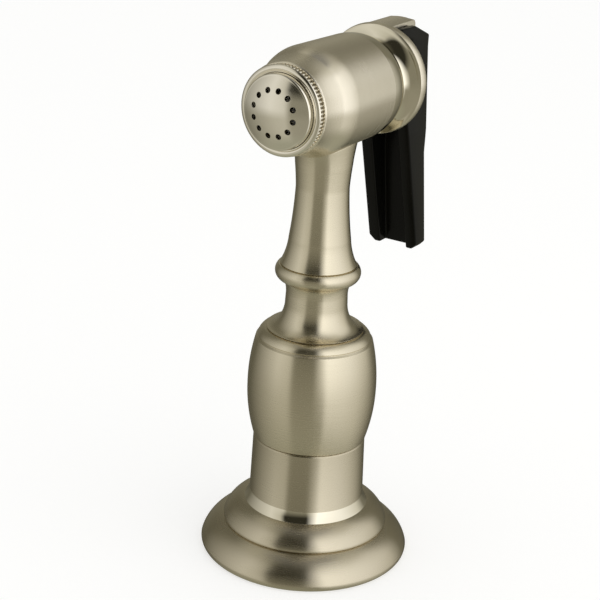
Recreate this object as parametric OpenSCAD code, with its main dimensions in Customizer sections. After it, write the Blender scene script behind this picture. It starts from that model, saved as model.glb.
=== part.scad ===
// Hand spray for a kitchen sink, standing in its deck holder.
// Millimetres, +Z up. The origin is on the axis of the holder, at the deck. Water leaves towards -Y.

/* [Deck flange] */
// Radius of the flange at its widest
flange_r = 28.5; // [27:0.1:31]
// Height of the widest line above the deck
rim_z = 1.8; // [1.2:0.1:2.6]
// Radius of the crease between the two tiers
crease_r = 22.4; // [21.5:0.1:24]
// Height of that crease above the deck
crease_z = 8.3; // [7.5:0.1:9.5]
// Height of the small lip at the foot of the upper tier
lip_h = 0.7; // [0.4:0.1:1.2]
// Radius of the seam where the upper tier meets the polished ring
seam_r = 16.9; // [16.5:0.1:18]
// Height of that seam above the deck
seam_z = 14.2; // [13:0.1:15.5]
// Height of the polished ring at the foot of the skirt
ring_h = 2.8; // [2:0.1:4]
// Radius of the skirt at its foot
skirt_foot_r = 15.6; // [15.4:0.05:16]
// Radius of the skirt at its top
skirt_top_r = 15.2; // [15:0.05:15.4]
// Height of the holder, from the deck to the joint with the wand
holder_h = 33.4; // [31:0.2:38]

/* [Guide bush and gasket] */
// Wall of the plastic guide bush that lines the skirt
bush_wall = 0.9; // [0.7:0.1:1.1]
// Radius of the collar at the foot of the bush
bush_collar_r = 15.5; // [14.5:0.1:17]
// Thickness of that collar
bush_collar_t = 1.6; // [1.2:0.1:2.4]
// How far the bush stops below the top of the skirt
bush_top_gap = 0.8; // [0.4:0.1:2]
// Radius of the thread that takes the hollow shank below the deck, a G 1/2 pipe thread
shank_r = 10.48; // [9.5:0.01:11]
// Length of that thread
shank_len = 8.6; // [6:0.2:10]
// Recess of the bush above the deck plane
bush_lift = 0.4; // [0.2:0.1:0.8]
// Inner radius of the deck gasket
gasket_in_r = 19; // [18:0.1:20]
// Outer radius of the deck gasket
gasket_out_r = 25.5; // [24:0.1:26]
// Thickness of the deck gasket
gasket_t = 1.8; // [1.2:0.1:2.5]

/* [Hose connector] */
// Radius of the inlet thread for the hose, a G 1/4 pipe thread
inlet_r = 6.58; // [5.5:0.01:7]
// Length of the inlet thread
inlet_len = 8.5; // [7:0.1:9.5]
// Radius of the connector's head
connector_r = 9.2; // [8.6:0.1:9.6]
// Length of the connector's head
connector_len = 12.7; // [11.5:0.1:14]
// Radius of the spigot on which the wand turns
spigot_r = 5.45; // [5.2:0.05:5.7]
// Radius of the water bore in the connector
inlet_bore_r = 3.2; // [2.5:0.1:3.5]
// Thickness of the hose washer
hose_washer_t = 1.4; // [1:0.1:2]
// Depth of the undercut above the inlet thread, which keeps the washer in its place
undercut_d = 0.4; // [0.2:0.1:0.8]
// Room in the undercut between the thread and the washer
undercut_gap = 0.3; // [0.2:0.1:0.6]
// Width of the seal ring on the spigot
swivel_ring_w = 1.8; // [1.4:0.1:2.2]
// Thickness of the snap ring
snap_t = 1; // [0.7:0.1:1.4]
// Outer radius of the snap ring
snap_r = 6.8; // [6.4:0.1:7.1]
// Opening angle of the snap ring
snap_gap_deg = 50; // [30:1:90]

/* [Tail sleeve] */
// Outer radius of the sleeve that drops into the holder
tail_r = 12.3; // [12:0.05:12.6]
// Radius of the sleeve's lower bore
sleeve_bore_r = 10.2; // [10:0.05:10.6]
// Length of the web in which the spigot turns
web_len = 10; // [8:0.1:12]
// Radius of the chamber above the web
sleeve_top_r = 7.6; // [7.3:0.1:9]
// Length of the sleeve that is screwed into the barrel
sleeve_grip = 11.2; // [10:0.1:12.5]
// Clear height between the sleeve's end and the floor of the bush
tail_drop = 2.3; // [1.5:0.1:3]

/* [Barrel] */
// Radius of the barrel at its foot
barrel_foot_r = 15.3; // [15.1:0.05:15.6]
// Radius of the barrel at its widest
barrel_r = 17.4; // [16.9:0.1:19]
// Height of the widest line above the foot
barrel_wide_h = 14.5; // [12:0.1:18]
// Height of the lower groove above the foot
groove_h = 28.7; // [27.5:0.1:30]
// Depth of the grooves at the shoulder
groove_d = 0.7; // [0.4:0.1:1]
// Radius of the shoulder just below the lower groove
shoulder_r = 15.7; // [15.2:0.1:16.4]
// Height of the barrel above its foot
barrel_h = 31.1; // [30.5:0.1:33]
// Radius of the passage in the barrel
barrel_bore_r = 7.5; // [6:0.1:8]

/* [Bell] */
// Radius of the bell's rim at the shoulder
bell_r = 13.2; // [12.6:0.1:13.8]
// Radius of the waist
waist_r = 8.2; // [7.8:0.1:9]
// Height of the cove below the waist
cove_h = 7.4; // [6.5:0.1:8.5]
// Height of the waist, from the end of the cove to the flare
waist_h = 2.4; // [1.5:0.1:3.5]
// Radius of the bead's lower edge and upper crease
bead_root_r = 10.5; // [10.3:0.1:11]
// How far the bead stands out from its root
bead_out = 1.3; // [0.9:0.1:1.6]
// Height of the bead
bead_h = 4.3; // [3.5:0.1:5]
// Height of the flare from the waist to the bead
flare_h = 3.8; // [3:0.1:5]
// Radius of the spigot that screws into the barrel
bell_spigot_r = 9.5; // [9:0.1:9.8]
// Length of that spigot
bell_spigot_len = 8; // [6:0.1:8.8]
// Radius of the passage in the bell
bell_bore_r = 4; // [3.4:0.1:4.4]

/* [Neck] */
// Radius of the neck at its foot
neck_foot_r = 10.1; // [9.6:0.1:10.3]
// Radius of the neck at its thinnest
neck_r = 7; // [6.7:0.1:7.8]
// Height of the thinnest line above the foot
neck_thin_h = 21.3; // [18:0.1:24]
// Radius of the neck where it meets the head
neck_top_r = 7.9; // [7.5:0.1:8.4]
// Radius of the threaded spigots at both ends of the neck
neck_spigot_r = 5.4; // [5:0.1:5.6]
// Length of the lower spigot
neck_spigot_len = 11.5; // [9:0.1:12.5]
// Radius of the passage in the neck
neck_bore_r = 3.1; // [2.5:0.1:3.2]
// Thickness of the flat seals in the handle
seal_t = 1.2; // [0.8:0.1:1.5]

/* [Head] */
// Height of the head's axis above the joint with the holder
head_h = 94.6; // [92:0.2:110]
// Radius of the head at its front edge
head_front_r = 11.8; // [11.7:0.05:12.2]
// Radius of the head at its widest
head_r = 14.3; // [14:0.1:15]
// Radius of the head near its rear edge
head_rear_r = 14; // [13.8:0.1:14.2]
// Distance of the front edge before the neck's axis
head_front = 20.4; // [19.5:0.1:24]
// Distance of the widest line before the neck's axis
head_wide = 8.4; // [8:0.1:10]
// Distance of the rear edge behind the neck's axis
head_rear = 17.3; // [17:0.1:20]
// Radius of the rounding at the rear edge
head_round = 1.4; // [1:0.1:1.8]
// Radius of the inlet chamber in the head
chamber_r = 8.4; // [8.2:0.1:8.8]
// Radius of the outlet chamber behind the spray face
outlet_r = 7; // [6.6:0.1:7.4]
// Depth of the head's front thread
front_thread_len = 6.8; // [6:0.1:7.5]
// Depth of the head's rear thread
rear_thread_len = 8.3; // [7.5:0.1:8.8]

/* [Spray face] */
// Radius of the domed face
face_r = 9.55; // [9.2:0.05:9.7]
// How far the dome stands out
dome_h = 4.1; // [3:0.1:5]
// Wall of the dome
face_wall = 1; // [0.7:0.1:1.3]
// Thickness of the face's rim
face_rim_t = 1.5; // [1.1:0.1:1.6]
// Number of spray holes
spray_holes = 12; // [8:1:16]
// Radius of a spray hole
spray_hole_r = 0.75; // [0.5:0.05:0.9]
// Radius of the ring of spray holes
spray_ring_r = 5.8; // [5:0.1:6.5]
// Turn of the face about its axis, in degrees
face_turn = 3; // [0:1:29]
// Outer radius of the knurled bezel
bezel_r = 11.45; // [11.2:0.05:11.6]
// Length of the bezel before the head
bezel_len = 2; // [1.8:0.1:2.6]
// Length of the knurled band
knurl_len = 1.6; // [0.6:0.1:1.7]
// Number of knurl teeth
knurl_teeth = 71; // [60:1:96]
// Depth of the knurl
knurl_d = 0.4; // [0.2:0.05:0.5]
// Outer radius of the bezel's thread
bezel_thread_r = 10.2; // [10:0.05:10.3]
// Length of the bezel's thread
bezel_thread_len = 4.6; // [4:0.1:5]
// Radius of the bezel's opening
bezel_bore_r = 8.8; // [8.3:0.1:9]
// Thickness of the diffuser
diffuser_t = 1.1; // [0.8:0.1:1.4]
// Number of holes in the diffuser
diffuser_holes = 10; // [6:1:12]

/* [Rear collar] */
// Radius of the groove between head and collar
waist_groove_r = 11.6; // [11.2:0.1:12]
// Length of the groove
waist_groove_len = 5.2; // [4.5:0.1:6]
// Radius of the collar's ring
collar_r = 14.85; // [14.4:0.05:15.4]
// Thickness of the collar's ring
collar_t = 3.5; // [3:0.1:4.2]
// Half width of the hinge lug
lug_half = 3.7; // [3.5:0.1:4.4]
// How far the lug reaches behind the ring
lug_len = 12; // [10.4:0.1:12.4]
// Depth of the collar's guide for the stem
stem_guide_len = 6; // [5:0.1:7]
// Radius of the packing chamber
packing_r = 3.6; // [3.2:0.1:3.8]
// Width over the flats of the gland nut
gland_flats = 7; // [6.4:0.1:7.4]
// Height of the gland nut's head
gland_head_t = 2.4; // [1.8:0.1:2.6]
// Radius of the hinge pin
pin_r = 1.5; // [1.2:0.05:1.7]
// Distance of the hinge pin behind the ring
pin_back = 5.3; // [5.1:0.1:5.8]
// Height of the hinge pin above the head's axis
pin_up = 8.6; // [8.2:0.1:9]

/* [Valve] */
// Radius of the valve stem
stem_r = 1.75; // [1.5:0.05:1.9]
// How far the stem stands out behind the gland nut
stem_out = 3.75; // [3.4:0.05:4.2]
// Radius of the dome on the stem's end
stem_dome_r = 2.6; // [2.2:0.1:3.5]
// Radius of the opening in the valve seat
seat_bore_r = 3.4; // [3:0.1:3.6]
// Thickness of the valve seat
seat_t = 3; // [2.4:0.1:3.2]
// Height of the seat's raised lip
seat_lip_h = 0.4; // [0.2:0.1:0.6]
// Radius of the poppet
poppet_r = 5.2; // [4.9:0.1:5.4]
// Thickness of the rubber seat washer
seat_washer_t = 1.5; // [1.2:0.1:1.8]
// Thickness of the poppet
poppet_t = 1.4; // [1:0.1:1.6]
// Thickness of the nut on the stem's front end
stem_nut_t = 1.6; // [1.2:0.1:1.8]
// Radius of the flange that the spring pushes
spring_flange_r = 5.8; // [5.7:0.1:6.2]
// Thickness of that flange
spring_flange_t = 1.2; // [0.9:0.1:1.5]
// Mean radius of the return spring
spring_r = 5; // [4.8:0.1:5.2]
// Radius of the spring wire
spring_wire_r = 0.45; // [0.35:0.05:0.5]
// Number of turns of the spring
spring_turns = 6; // [4:1:7]

/* [Trigger lever] */
// Swing of the lever, in degrees
trigger_swing = 11; // [8:0.5:11]
// Height of the ears above the hinge pin
ear_up = 4.7; // [4.3:0.1:6.2]
// Half width of the lever at its ears
ear_half = 6; // [5.8:0.1:7]
// Half width of the lever at its paddle
paddle_half = 7.6; // [7.2:0.1:8.5]
// Distance of the lever's back behind the pin, at the ears
back_top = 11; // [9.7:0.1:12]
// Distance of the back behind the pin, at the knee
back_knee = 10.3; // [9.8:0.1:12]
// Distance of the back behind the pin, at the tip
back_tip = 15; // [14:0.1:18]
// Depth of the knee below the hinge pin
knee_down = 31.2; // [28:0.1:34]
// Depth of the tip below the hinge pin
tip_down = 59.8; // [54:0.2:68]
// Thickness of the lever at its tip, front to back
tip_thick = 5.2; // [4:0.1:6]
// Wall of the lever's back
back_wall = 1.8; // [1.6:0.1:2.4]
// Wall of the lever's sides at the paddle
side_wall = 3.5; // [1.8:0.1:3.6]
// Width of the chamfers at the tip
tip_chamfer = 1.7; // [1:0.1:4]
// Half width of the rib that pushes the stem
rib_half = 1.8; // [1.4:0.1:2.4]
// Half height of that rib
rib_tall = 2.2; // [1.8:0.1:2.5]

/* [Clearances] */
// Play between a turning or sliding piece and its bearing
run_gap = 0.05; // [0.02:0.01:0.08]
// Play between screwed threads
thread_gap = 0.1; // [0.05:0.01:0.2]
// Play between pieces that pass each other freely
free_gap = 0.3; // [0.25:0.01:0.4]
// Gap between the resting wand and the holder
joint_gap = 0.15; // [0.1:0.01:0.3]
// Gap between the rubber washer and the valve seat
seat_gap = 0.05; // [0.03:0.01:0.1]
// Gap between the stem and the lever's rib at rest
push_gap = 0.15; // [0.1:0.01:0.3]

/* [Hidden] */
$fn = 64;
// Overlap of two shapes that are joined face to face
eps = 0.01;
// How far a cutting shape reaches past the face that it opens
over = 1;
// Width of the small edge breaks on turned pieces
edge = 0.3;

// Heights, from the deck up
bush_floor = bush_lift + shank_len;
bush_bore_r = tail_r + free_gap;
bush_r = bush_bore_r + bush_wall;
tail_z = bush_floor + tail_drop;
connector_lift = 2.6;
connector_z = tail_z + connector_lift;
washer_z = connector_z + inlet_len + undercut_gap;
web_z = connector_z + connector_len + free_gap;
swivel_ring_z = web_z + web_len / 2;
swivel_ring_d = 1.25;
snap_z = web_z + web_len + free_gap;
snap_groove_d = 1;
spigot_end_len = 1.4;
spigot_top = snap_z + snap_t + spigot_end_len;
barrel_z = holder_h + joint_gap;
sleeve_top = barrel_z + sleeve_grip;
barrel_shoulder = sleeve_top + seal_t;
barrel_top = barrel_z + barrel_h;
bell_seat = barrel_top - bell_spigot_len - seal_t;
bell_top = barrel_top + cove_h + waist_h + flare_h + bead_h;
neck_seat = bell_top - neck_spigot_len - seal_t;
head_z = holder_h + head_h;

// Places along the head's axis, front negative
front_seat = -head_front + front_thread_len;
face_washer_t = 1;
seat_set = 1.8;
seat_front = -head_wide + seat_set;
seat_rear = seat_front + seat_t;
rear_seat = head_rear - rear_thread_len;
rear_thread_r = chamber_r + 1.3;
collar_seal_t = 1;
collar_front = rear_seat + collar_seal_t;
flange_set = 0.4;
flange_front = rear_seat - flange_set;
ring_front = head_rear + waist_groove_len;
ring_rear = ring_front + collar_t;
packing_len = 5.94;
packing_t = 1.6;
packing_washer_t = 0.6;
packing_y = ring_rear - packing_len;
gland_front = packing_y + packing_t + packing_washer_t;
guide_y = packing_y - stem_guide_len;
gland_rear = ring_rear + gland_head_t;
gland_corner_r = gland_flats / 2 / cos(30);
stem_end = gland_rear + stem_out;
rib_y = stem_end + push_gap;
washer_rear = seat_front - seat_lip_h - seat_gap;
washer_front = washer_rear - seat_washer_t;
washer_r = poppet_r - 0.4;
poppet_front = washer_front - poppet_t;
stem_front = poppet_front - stem_nut_t;
stem_tip_r = 1.2;

// Hinge of the lever, and the heights at its ears, its taper and its tip
pin_y = ring_rear + pin_back;
pin_z = head_z + pin_up;
ear_top = pin_z + ear_up;
shoulder_z = pin_z + 1.4;
tip_z = pin_z - tip_down;
inner_top_y = pin_y + back_top - back_wall;

// Points from a to b on a circle that bows by s to the right of the way from a to b
function arc(a, b, s, n = 8) =
    let (c = b - a, l = norm(c), r = (l * l / 4 + s * s) / (2 * abs(s)),
         m = (a + b) / 2 + [c.y, -c.x] / l * (s - sign(s) * r),
         a0 = atan2(a.y - m.y, a.x - m.x), w = sign(s) * 4 * atan(2 * abs(s) / l))
    [for (i = [0:n]) m + r * [cos(a0 + w * i / n), sin(a0 + w * i / n)]];

// Points on a quarter of an ellipse about c with half axes h, between the angles t0 and t1
function ellipse(c, h, t0, t1, n = 10) =
    [for (i = [0:n]) let (t = t0 + (t1 - t0) * i / n) c + [h.x * cos(t), h.y * sin(t)]];

// A ring of rectangular section from z0 to z1
module ring(r_in, r_out, z0, z1) {
    difference() {
        translate([0, 0, z0]) cylinder(r = r_out, h = z1 - z0);
        translate([0, 0, z0 - over]) cylinder(r = r_in, h = z1 - z0 + 2 * over);
    }
}

// A hole along the axis
module hole(r, z0, z1) {
    translate([0, 0, z0]) cylinder(r = r, h = z1 - z0);
}

// Puts a piece drawn about Z on the head's axis, with its +Z towards the rear
module on_head() {
    translate([0, 0, head_z]) rotate([-90, 0, 0]) children();
}

module deck_flange() {
    ring_z = seam_z + ring_h;
    foot_r = flange_r - 0.8;
    foot_bow = 0.25;
    ring_bow = -0.3;
    color("tan") difference() {
        rotate_extrude() polygon(concat(
            [[0, 0], [foot_r, 0]],
            arc([foot_r, 0], [flange_r, rim_z], foot_bow, 4),
            ellipse([crease_r, rim_z], [flange_r - crease_r, crease_z - rim_z], 0, 90, 10),
            [[crease_r, crease_z + lip_h]],
            ellipse([seam_r, crease_z + lip_h], [crease_r - seam_r, seam_z - crease_z - lip_h], 0, 90, 8),
            arc([seam_r, seam_z], [skirt_foot_r, ring_z], ring_bow, 4),
            [[skirt_top_r, holder_h - edge], [skirt_top_r - edge, holder_h], [0, holder_h]]
        ));
        hole(bush_r, -over, holder_h + over);
        hole(bush_collar_r, -over, bush_lift + bush_collar_t);
        ring(gasket_in_r, gasket_out_r, -over, gasket_t);
    }
}

module guide_bush() {
    color("white") difference() {
        union() {
            hole(bush_r, bush_lift, holder_h - bush_top_gap);
            hole(bush_collar_r, bush_lift, bush_lift + bush_collar_t);
        }
        hole(shank_r, 0, bush_floor + eps);
        hole(bush_bore_r, bush_floor, holder_h);
    }
}

module base_gasket() {
    color("dimgray") ring(gasket_in_r, gasket_out_r, 0, gasket_t);
}

module hose_connector() {
    spigot_z = connector_z + connector_len;
    color("goldenrod") difference() {
        union() {
            hole(connector_r, connector_z, spigot_z);
            hole(spigot_r, spigot_z - eps, spigot_top);
        }
        hole(inlet_r, connector_z - over, connector_z + inlet_len);
        hole(inlet_r + undercut_d, connector_z + inlet_len, washer_z + hose_washer_t);
        hole(inlet_bore_r, connector_z, spigot_top + over);
        ring(spigot_r - swivel_ring_d, spigot_r + over, swivel_ring_z, swivel_ring_z + swivel_ring_w);
        ring(spigot_r - snap_groove_d, spigot_r + over, snap_z, snap_z + snap_t);
    }
}

module swivel_seal() {
    color("black") ring(spigot_r - swivel_ring_d, spigot_r, swivel_ring_z, swivel_ring_z + swivel_ring_w);
}

module snap_ring() {
    color("silver") difference() {
        ring(spigot_r - snap_groove_d, snap_r, snap_z, snap_z + snap_t);
        rotate([0, 0, -snap_gap_deg / 2]) translate([0, 0, snap_z - over])
            rotate_extrude(angle = snap_gap_deg) square([snap_r + over, snap_t + 2 * over]);
    }
}

module hose_washer() {
    bore_more = 0.4;
    color("black") ring(inlet_bore_r + bore_more, inlet_r + undercut_d, washer_z, washer_z + hose_washer_t);
}

module tail_sleeve() {
    web_top = web_z + web_len;
    color("ivory") difference() {
        hole(tail_r, tail_z, sleeve_top);
        hole(sleeve_bore_r, tail_z - over, web_z);
        hole(spigot_r + run_gap, web_z - over, web_top + over);
        hole(sleeve_top_r, web_top, sleeve_top + over);
    }
}

module sleeve_seal() {
    bore_more = 1;
    color("black") ring(sleeve_top_r + bore_more, tail_r, sleeve_top, barrel_shoulder);
}

module barrel() {
    wide_z = barrel_z + barrel_wide_h;
    groove_z = barrel_z + groove_h;
    groove_rise = 0.5;
    low_bow = 0.55;
    high_bow = 0.45;
    bead_foot = [(shoulder_r + bell_r) / 2 + 0.75, groove_z + 0.3];
    bead_start = bead_foot + [-0.05, 0.05];
    bead_end = [bell_r + 0.3, barrel_top - 0.25];
    bead_bow = 0.45;
    color("tan") difference() {
        rotate_extrude() polygon(concat(
            [[0, barrel_z], [barrel_foot_r - edge, barrel_z]],
            arc([barrel_foot_r, barrel_z + edge], [barrel_r, wide_z], low_bow, 8),
            arc([barrel_r, wide_z], [shoulder_r, groove_z - groove_rise], high_bow, 7),
            [[shoulder_r - groove_d, groove_z], bead_foot],
            arc(bead_start, bead_end, bead_bow, 5),
            [[bell_r - groove_d, barrel_top], [0, barrel_top]]
        ));
        hole(tail_r + thread_gap, barrel_z - over, barrel_shoulder);
        hole(barrel_bore_r, barrel_shoulder - over, barrel_top);
        hole(bell_spigot_r + thread_gap, bell_seat, barrel_top + over);
    }
}

module bell() {
    rim_z = barrel_top + edge;
    cove_top = barrel_top + cove_h;
    cove_r = waist_r + 0.1;
    flare_z = cove_top + waist_h;
    bead_z = flare_z + flare_h;
    color("tan") difference() {
        union() {
            rotate_extrude() polygon(concat(
                [[0, barrel_top], [bell_r - groove_d, barrel_top], [bell_r, rim_z]],
                ellipse([bell_r, cove_top], [cove_r - bell_r, rim_z - cove_top], 80, 0, 9),
                ellipse([bead_root_r, flare_z], [waist_r - bead_root_r, flare_h], 0, 84, 7),
                arc([bead_root_r, bead_z], [bead_root_r, bell_top], bead_out, 9),
                [[0, bell_top]]
            ));
            hole(bell_spigot_r, bell_seat + seal_t, barrel_top + eps);
        }
        hole(bell_bore_r, bell_seat, bell_top + over);
        hole(neck_spigot_r + thread_gap, neck_seat, bell_top + over);
    }
}

module bell_seal() {
    color("black") ring(barrel_bore_r, bell_spigot_r, bell_seat, bell_seat + seal_t);
}

// Outer shape of the head about its axis, up to the rear edge
module head_shape() {
    nose_y = -head_front + 6.6;
    nose_r = head_front_r + 1.1;
    nose_bow = -0.25;
    flank_bow = 0.35;
    rear_r = head_rear_r - head_round;
    rotate_extrude() polygon(concat(
        [[0, -head_front], [head_front_r - edge, -head_front]],
        arc([head_front_r, -head_front + edge], [nose_r, nose_y], nose_bow, 5),
        arc([nose_r, nose_y], [head_r, -head_wide], flank_bow, 6),
        ellipse([rear_r, head_rear - head_round], [head_round, head_round], 0, 75, 6),
        [[rear_r, head_rear], [0, head_rear]]
    ));
}

module neck() {
    foot_top_r = neck_r + (neck_foot_r - neck_r) * 0.38;
    foot_top_z = bell_top + 7.3;
    foot_bow = -0.35;
    thin_z = bell_top + neck_thin_h;
    thin_bow = -0.2;
    flare_r = neck_r + (neck_top_r - neck_r) / 2;
    flare_z = head_z - head_r - 3.5;
    top_r = neck_top_r + 0.6;
    top_z = head_z - head_r / 2;
    thread_top = head_z - chamber_r - 1.4;
    color("tan") difference() {
        union() {
            difference() {
                rotate_extrude() polygon(concat(
                    [[0, bell_top], [neck_foot_r - edge, bell_top]],
                    arc([neck_foot_r, bell_top + edge], [foot_top_r, foot_top_z], foot_bow, 6),
                    arc([foot_top_r, foot_top_z], [neck_r, thin_z], thin_bow, 5),
                    [[flare_r, flare_z], [top_r, top_z], [0, top_z]]
                ));
                on_head() head_shape();
            }
            hole(neck_spigot_r, neck_seat + seal_t, bell_top + eps);
            hole(neck_spigot_r, flare_z, thread_top);
        }
        hole(neck_bore_r, neck_seat, head_z);
    }
}

module neck_seal() {
    bore_more = 0.1;
    color("black") ring(bell_bore_r + bore_more, neck_spigot_r, neck_seat, neck_seat + seal_t);
}

module head_body() {
    under = head_z - head_r - over;
    neck_thread_top = head_z - chamber_r - 1.3;
    color("tan") difference() {
        on_head() difference() {
            head_shape();
            hole(bezel_thread_r + thread_gap, -head_front - over, front_seat);
            hole(outlet_r, front_seat - over, seat_front + over);
            hole(chamber_r, seat_front, rear_seat + over);
            hole(rear_thread_r + thread_gap, rear_seat, head_rear + over);
        }
        hole(neck_spigot_r + thread_gap, under, neck_thread_top);
        hole(neck_bore_r, under, head_z);
    }
}

module face_washer() {
    bore_more = 1;
    color("black") on_head()
        ring(outlet_r + bore_more, bezel_thread_r, front_seat - face_washer_t, front_seat);
}

module diffuser() {
    z = front_seat - face_washer_t - diffuser_t;
    boss_r = 2;
    boss_h = 1.2;
    diffuser_hole_r = 0.9;
    color("white") on_head() difference() {
        union() {
            hole(bezel_thread_r, z, z + diffuser_t);
            hole(boss_r, z - boss_h, z + eps);
        }
        for (i = [0:diffuser_holes - 1])
            rotate([0, 0, 360 * i / diffuser_holes]) translate([spray_ring_r, 0, 0])
                hole(diffuser_hole_r, z - over, front_seat);
    }
}

module knurled_bezel() {
    face_y = -head_front - bezel_len;
    rim_front = [face_r + 0.35, face_y - 0.2];
    rim_bow = 0.3;
    rim_land = 0.15;
    head_gap = 0.1;
    knurl_rear = -head_front - head_gap;
    rim_rear = knurl_rear - knurl_len;
    tip_in = 0.1;
    hub_r = head_front_r - 1;
    tooth = 360 / knurl_teeth;
    color("tan") on_head() difference() {
        union() {
            rotate_extrude() polygon(concat(
                [[0, rim_front.y]],
                arc(rim_front, [bezel_r, rim_rear - rim_land], rim_bow, 6),
                [[bezel_r, rim_rear], [0, rim_rear]]
            ));
            translate([0, 0, rim_rear - eps]) linear_extrude(height = knurl_len + eps)
                polygon([for (i = [0:2 * knurl_teeth - 1])
                    (bezel_r - tip_in - (i % 2) * knurl_d) * [cos(i * tooth / 2), sin(i * tooth / 2)]]);
            hole(hub_r, knurl_rear - eps, -head_front);
            hole(bezel_thread_r, -head_front - eps, -head_front + bezel_thread_len);
        }
        hole(bezel_bore_r, face_y, 0);
        hole(face_r + thread_gap, face_y - over, face_y + face_rim_t);
    }
}

module spray_face() {
    rim_y = -head_front - bezel_len;
    back_y = rim_y + face_rim_t;
    inner_r = face_r - face_wall;
    color("tan") on_head() difference() {
        rotate_extrude() polygon(concat(
            ellipse([0, rim_y], [face_r, -dome_h], 90, 0, 12),
            [[face_r, back_y], [inner_r, back_y]],
            ellipse([0, rim_y], [inner_r, face_wall - dome_h], 0, 90, 12)
        ));
        for (i = [0:spray_holes - 1])
            rotate([0, 0, 360 * (i + 0.5) / spray_holes - face_turn]) translate([spray_ring_r, 0, 0])
                hole(spray_hole_r, rim_y - dome_h - over, back_y + over);
    }
}

module valve_seat() {
    lip_r = seat_bore_r + 0.7;
    color("goldenrod") on_head() difference() {
        union() {
            hole(chamber_r, seat_front, seat_rear);
            hole(lip_r, seat_front - seat_lip_h, seat_front + eps);
        }
        hole(seat_bore_r, seat_front - over, seat_rear + over);
    }
}

module return_spring() {
    sides = 6;
    rings = 12 * spring_turns;
    end_gap = 0.05;
    z0 = seat_rear + spring_wire_r + end_gap;
    z1 = flange_front - spring_wire_r - end_gap;
    color("silver") on_head() polyhedron(
        points = [for (j = [0:rings]) let (t = 360 * spring_turns * j / rings)
            for (i = [0:sides - 1]) let (a = 360 * i / sides, r = spring_r + spring_wire_r * cos(a))
                [r * cos(t), r * sin(t), z0 + (z1 - z0) * j / rings + spring_wire_r * sin(a)]],
        faces = concat(
            [[for (i = [sides - 1:-1:0]) i], [for (i = [0:sides - 1]) rings * sides + i]],
            [for (j = [0:rings - 1]) for (i = [0:sides - 1]) let (k = (i + 1) % sides)
                each [[j * sides + i, j * sides + k, (j + 1) * sides + k],
                      [j * sides + i, (j + 1) * sides + k, (j + 1) * sides + i]]]
        )
    );
}

module collar_seal() {
    bore_more = 0.1;
    color("black") on_head() ring(chamber_r + bore_more, rear_thread_r, rear_seat, collar_front);
}

// Side view of the hinge lug, drawn as [distance behind the ring's rear, height above the axis]
module lug_shape() {
    root = -collar_t / 2;
    foot = gland_corner_r + free_gap;
    heel = [lug_len, pin_up + 0.8];
    foot_bow = 1.9;
    back_top = [lug_len, collar_r - 2];
    crown = [lug_len - 1.3, collar_r - 0.35];
    crown_bow = 0.35;
    top = collar_r + over;
    polygon(concat(
        [[root, foot]],
        arc([pin_back, foot], heel, foot_bow, 8),
        arc(back_top, crown, crown_bow, 4),
        [[crown.x, top], [root, top]]
    ));
}

// Outer shape of the rear collar about its axis, behind the head's rear edge
module collar_shape() {
    groove_end = [waist_groove_r, head_rear + 1.2];
    cove_end = [collar_r - 0.9, ring_front + 0.2];
    cove_bow = -0.9;
    ring_start = [collar_r - 0.25, ring_front + 0.4];
    ring_end = [collar_r - 0.25, ring_rear - edge];
    ring_bow = 0.25;
    rear_r = collar_r - 0.6;
    rotate_extrude() polygon(concat(
        [[0, head_rear], [waist_groove_r, head_rear]],
        arc(groove_end, cove_end, cove_bow, 7),
        arc(ring_start, ring_end, ring_bow, 5),
        [[rear_r, ring_rear], [0, ring_rear]]
    ));
}

module rear_collar() {
    pocket_r = chamber_r - 1.8;
    lug_r = collar_r - 0.15;
    color("tan") difference() {
        union() {
            on_head() {
                collar_shape();
                hole(rear_thread_r, collar_front, head_rear + eps);
            }
            intersection() {
                translate([lug_half, ring_rear, head_z]) rotate([90, 0, -90])
                    mirror([1, 0, 0]) linear_extrude(height = 2 * lug_half) lug_shape();
                on_head() hole(lug_r, ring_front, ring_rear + lug_len + over);
            }
        }
        on_head() {
            hole(pocket_r, collar_front - over, guide_y);
            hole(stem_r + run_gap, guide_y - over, packing_y + over);
            hole(packing_r, packing_y, ring_rear + over);
        }
        across_pin(lug_half + over) hole(pin_r, 0, 2 * (lug_half + over));
    }
}

// Lays a piece drawn from Z = 0 up along the pin's axis, from x = -half on
module across_pin(half) {
    translate([-half, pin_y, pin_z]) rotate([0, 90, 0]) children();
}

module stem_seal() {
    color("black") on_head() ring(stem_r + run_gap, packing_r, packing_y, packing_y + packing_t);
}

module packing_washer() {
    color("goldenrod") on_head() ring(stem_r + run_gap, packing_r, packing_y + packing_t, gland_front);
}

module gland_nut() {
    color("goldenrod") on_head() difference() {
        union() {
            hole(packing_r - run_gap, gland_front, ring_rear + eps);
            rotate([0, 0, 30]) translate([0, 0, ring_rear])
                cylinder(r = gland_corner_r, h = gland_head_t, $fn = 6);
        }
        hole(stem_r + run_gap, packing_y, gland_rear + over);
    }
}

module hinge_pin() {
    pin_half = ear_half - 0.2;
    color("silver") across_pin(pin_half) hole(pin_r, 0, 2 * pin_half);
}

module valve_stem() {
    flange_rear = flange_front + spring_flange_t;
    dome_deg = asin(stem_r / stem_dome_r);
    steps = 5;
    color("silver") on_head() rotate_extrude() polygon(concat(
        [[0, stem_front], [stem_tip_r, stem_front], [stem_tip_r, washer_rear]],
        [[stem_r, washer_rear], [stem_r, flange_front], [spring_flange_r, flange_front]],
        [[spring_flange_r, flange_rear], [stem_r, flange_rear]],
        [for (i = [0:steps]) let (a = dome_deg * (1 - i / steps))
            [stem_dome_r * sin(a), stem_end - stem_dome_r * (1 - cos(a))]]
    ));
}

module seat_washer() {
    color("black") on_head() ring(stem_tip_r, washer_r, washer_front, washer_rear);
}

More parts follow.
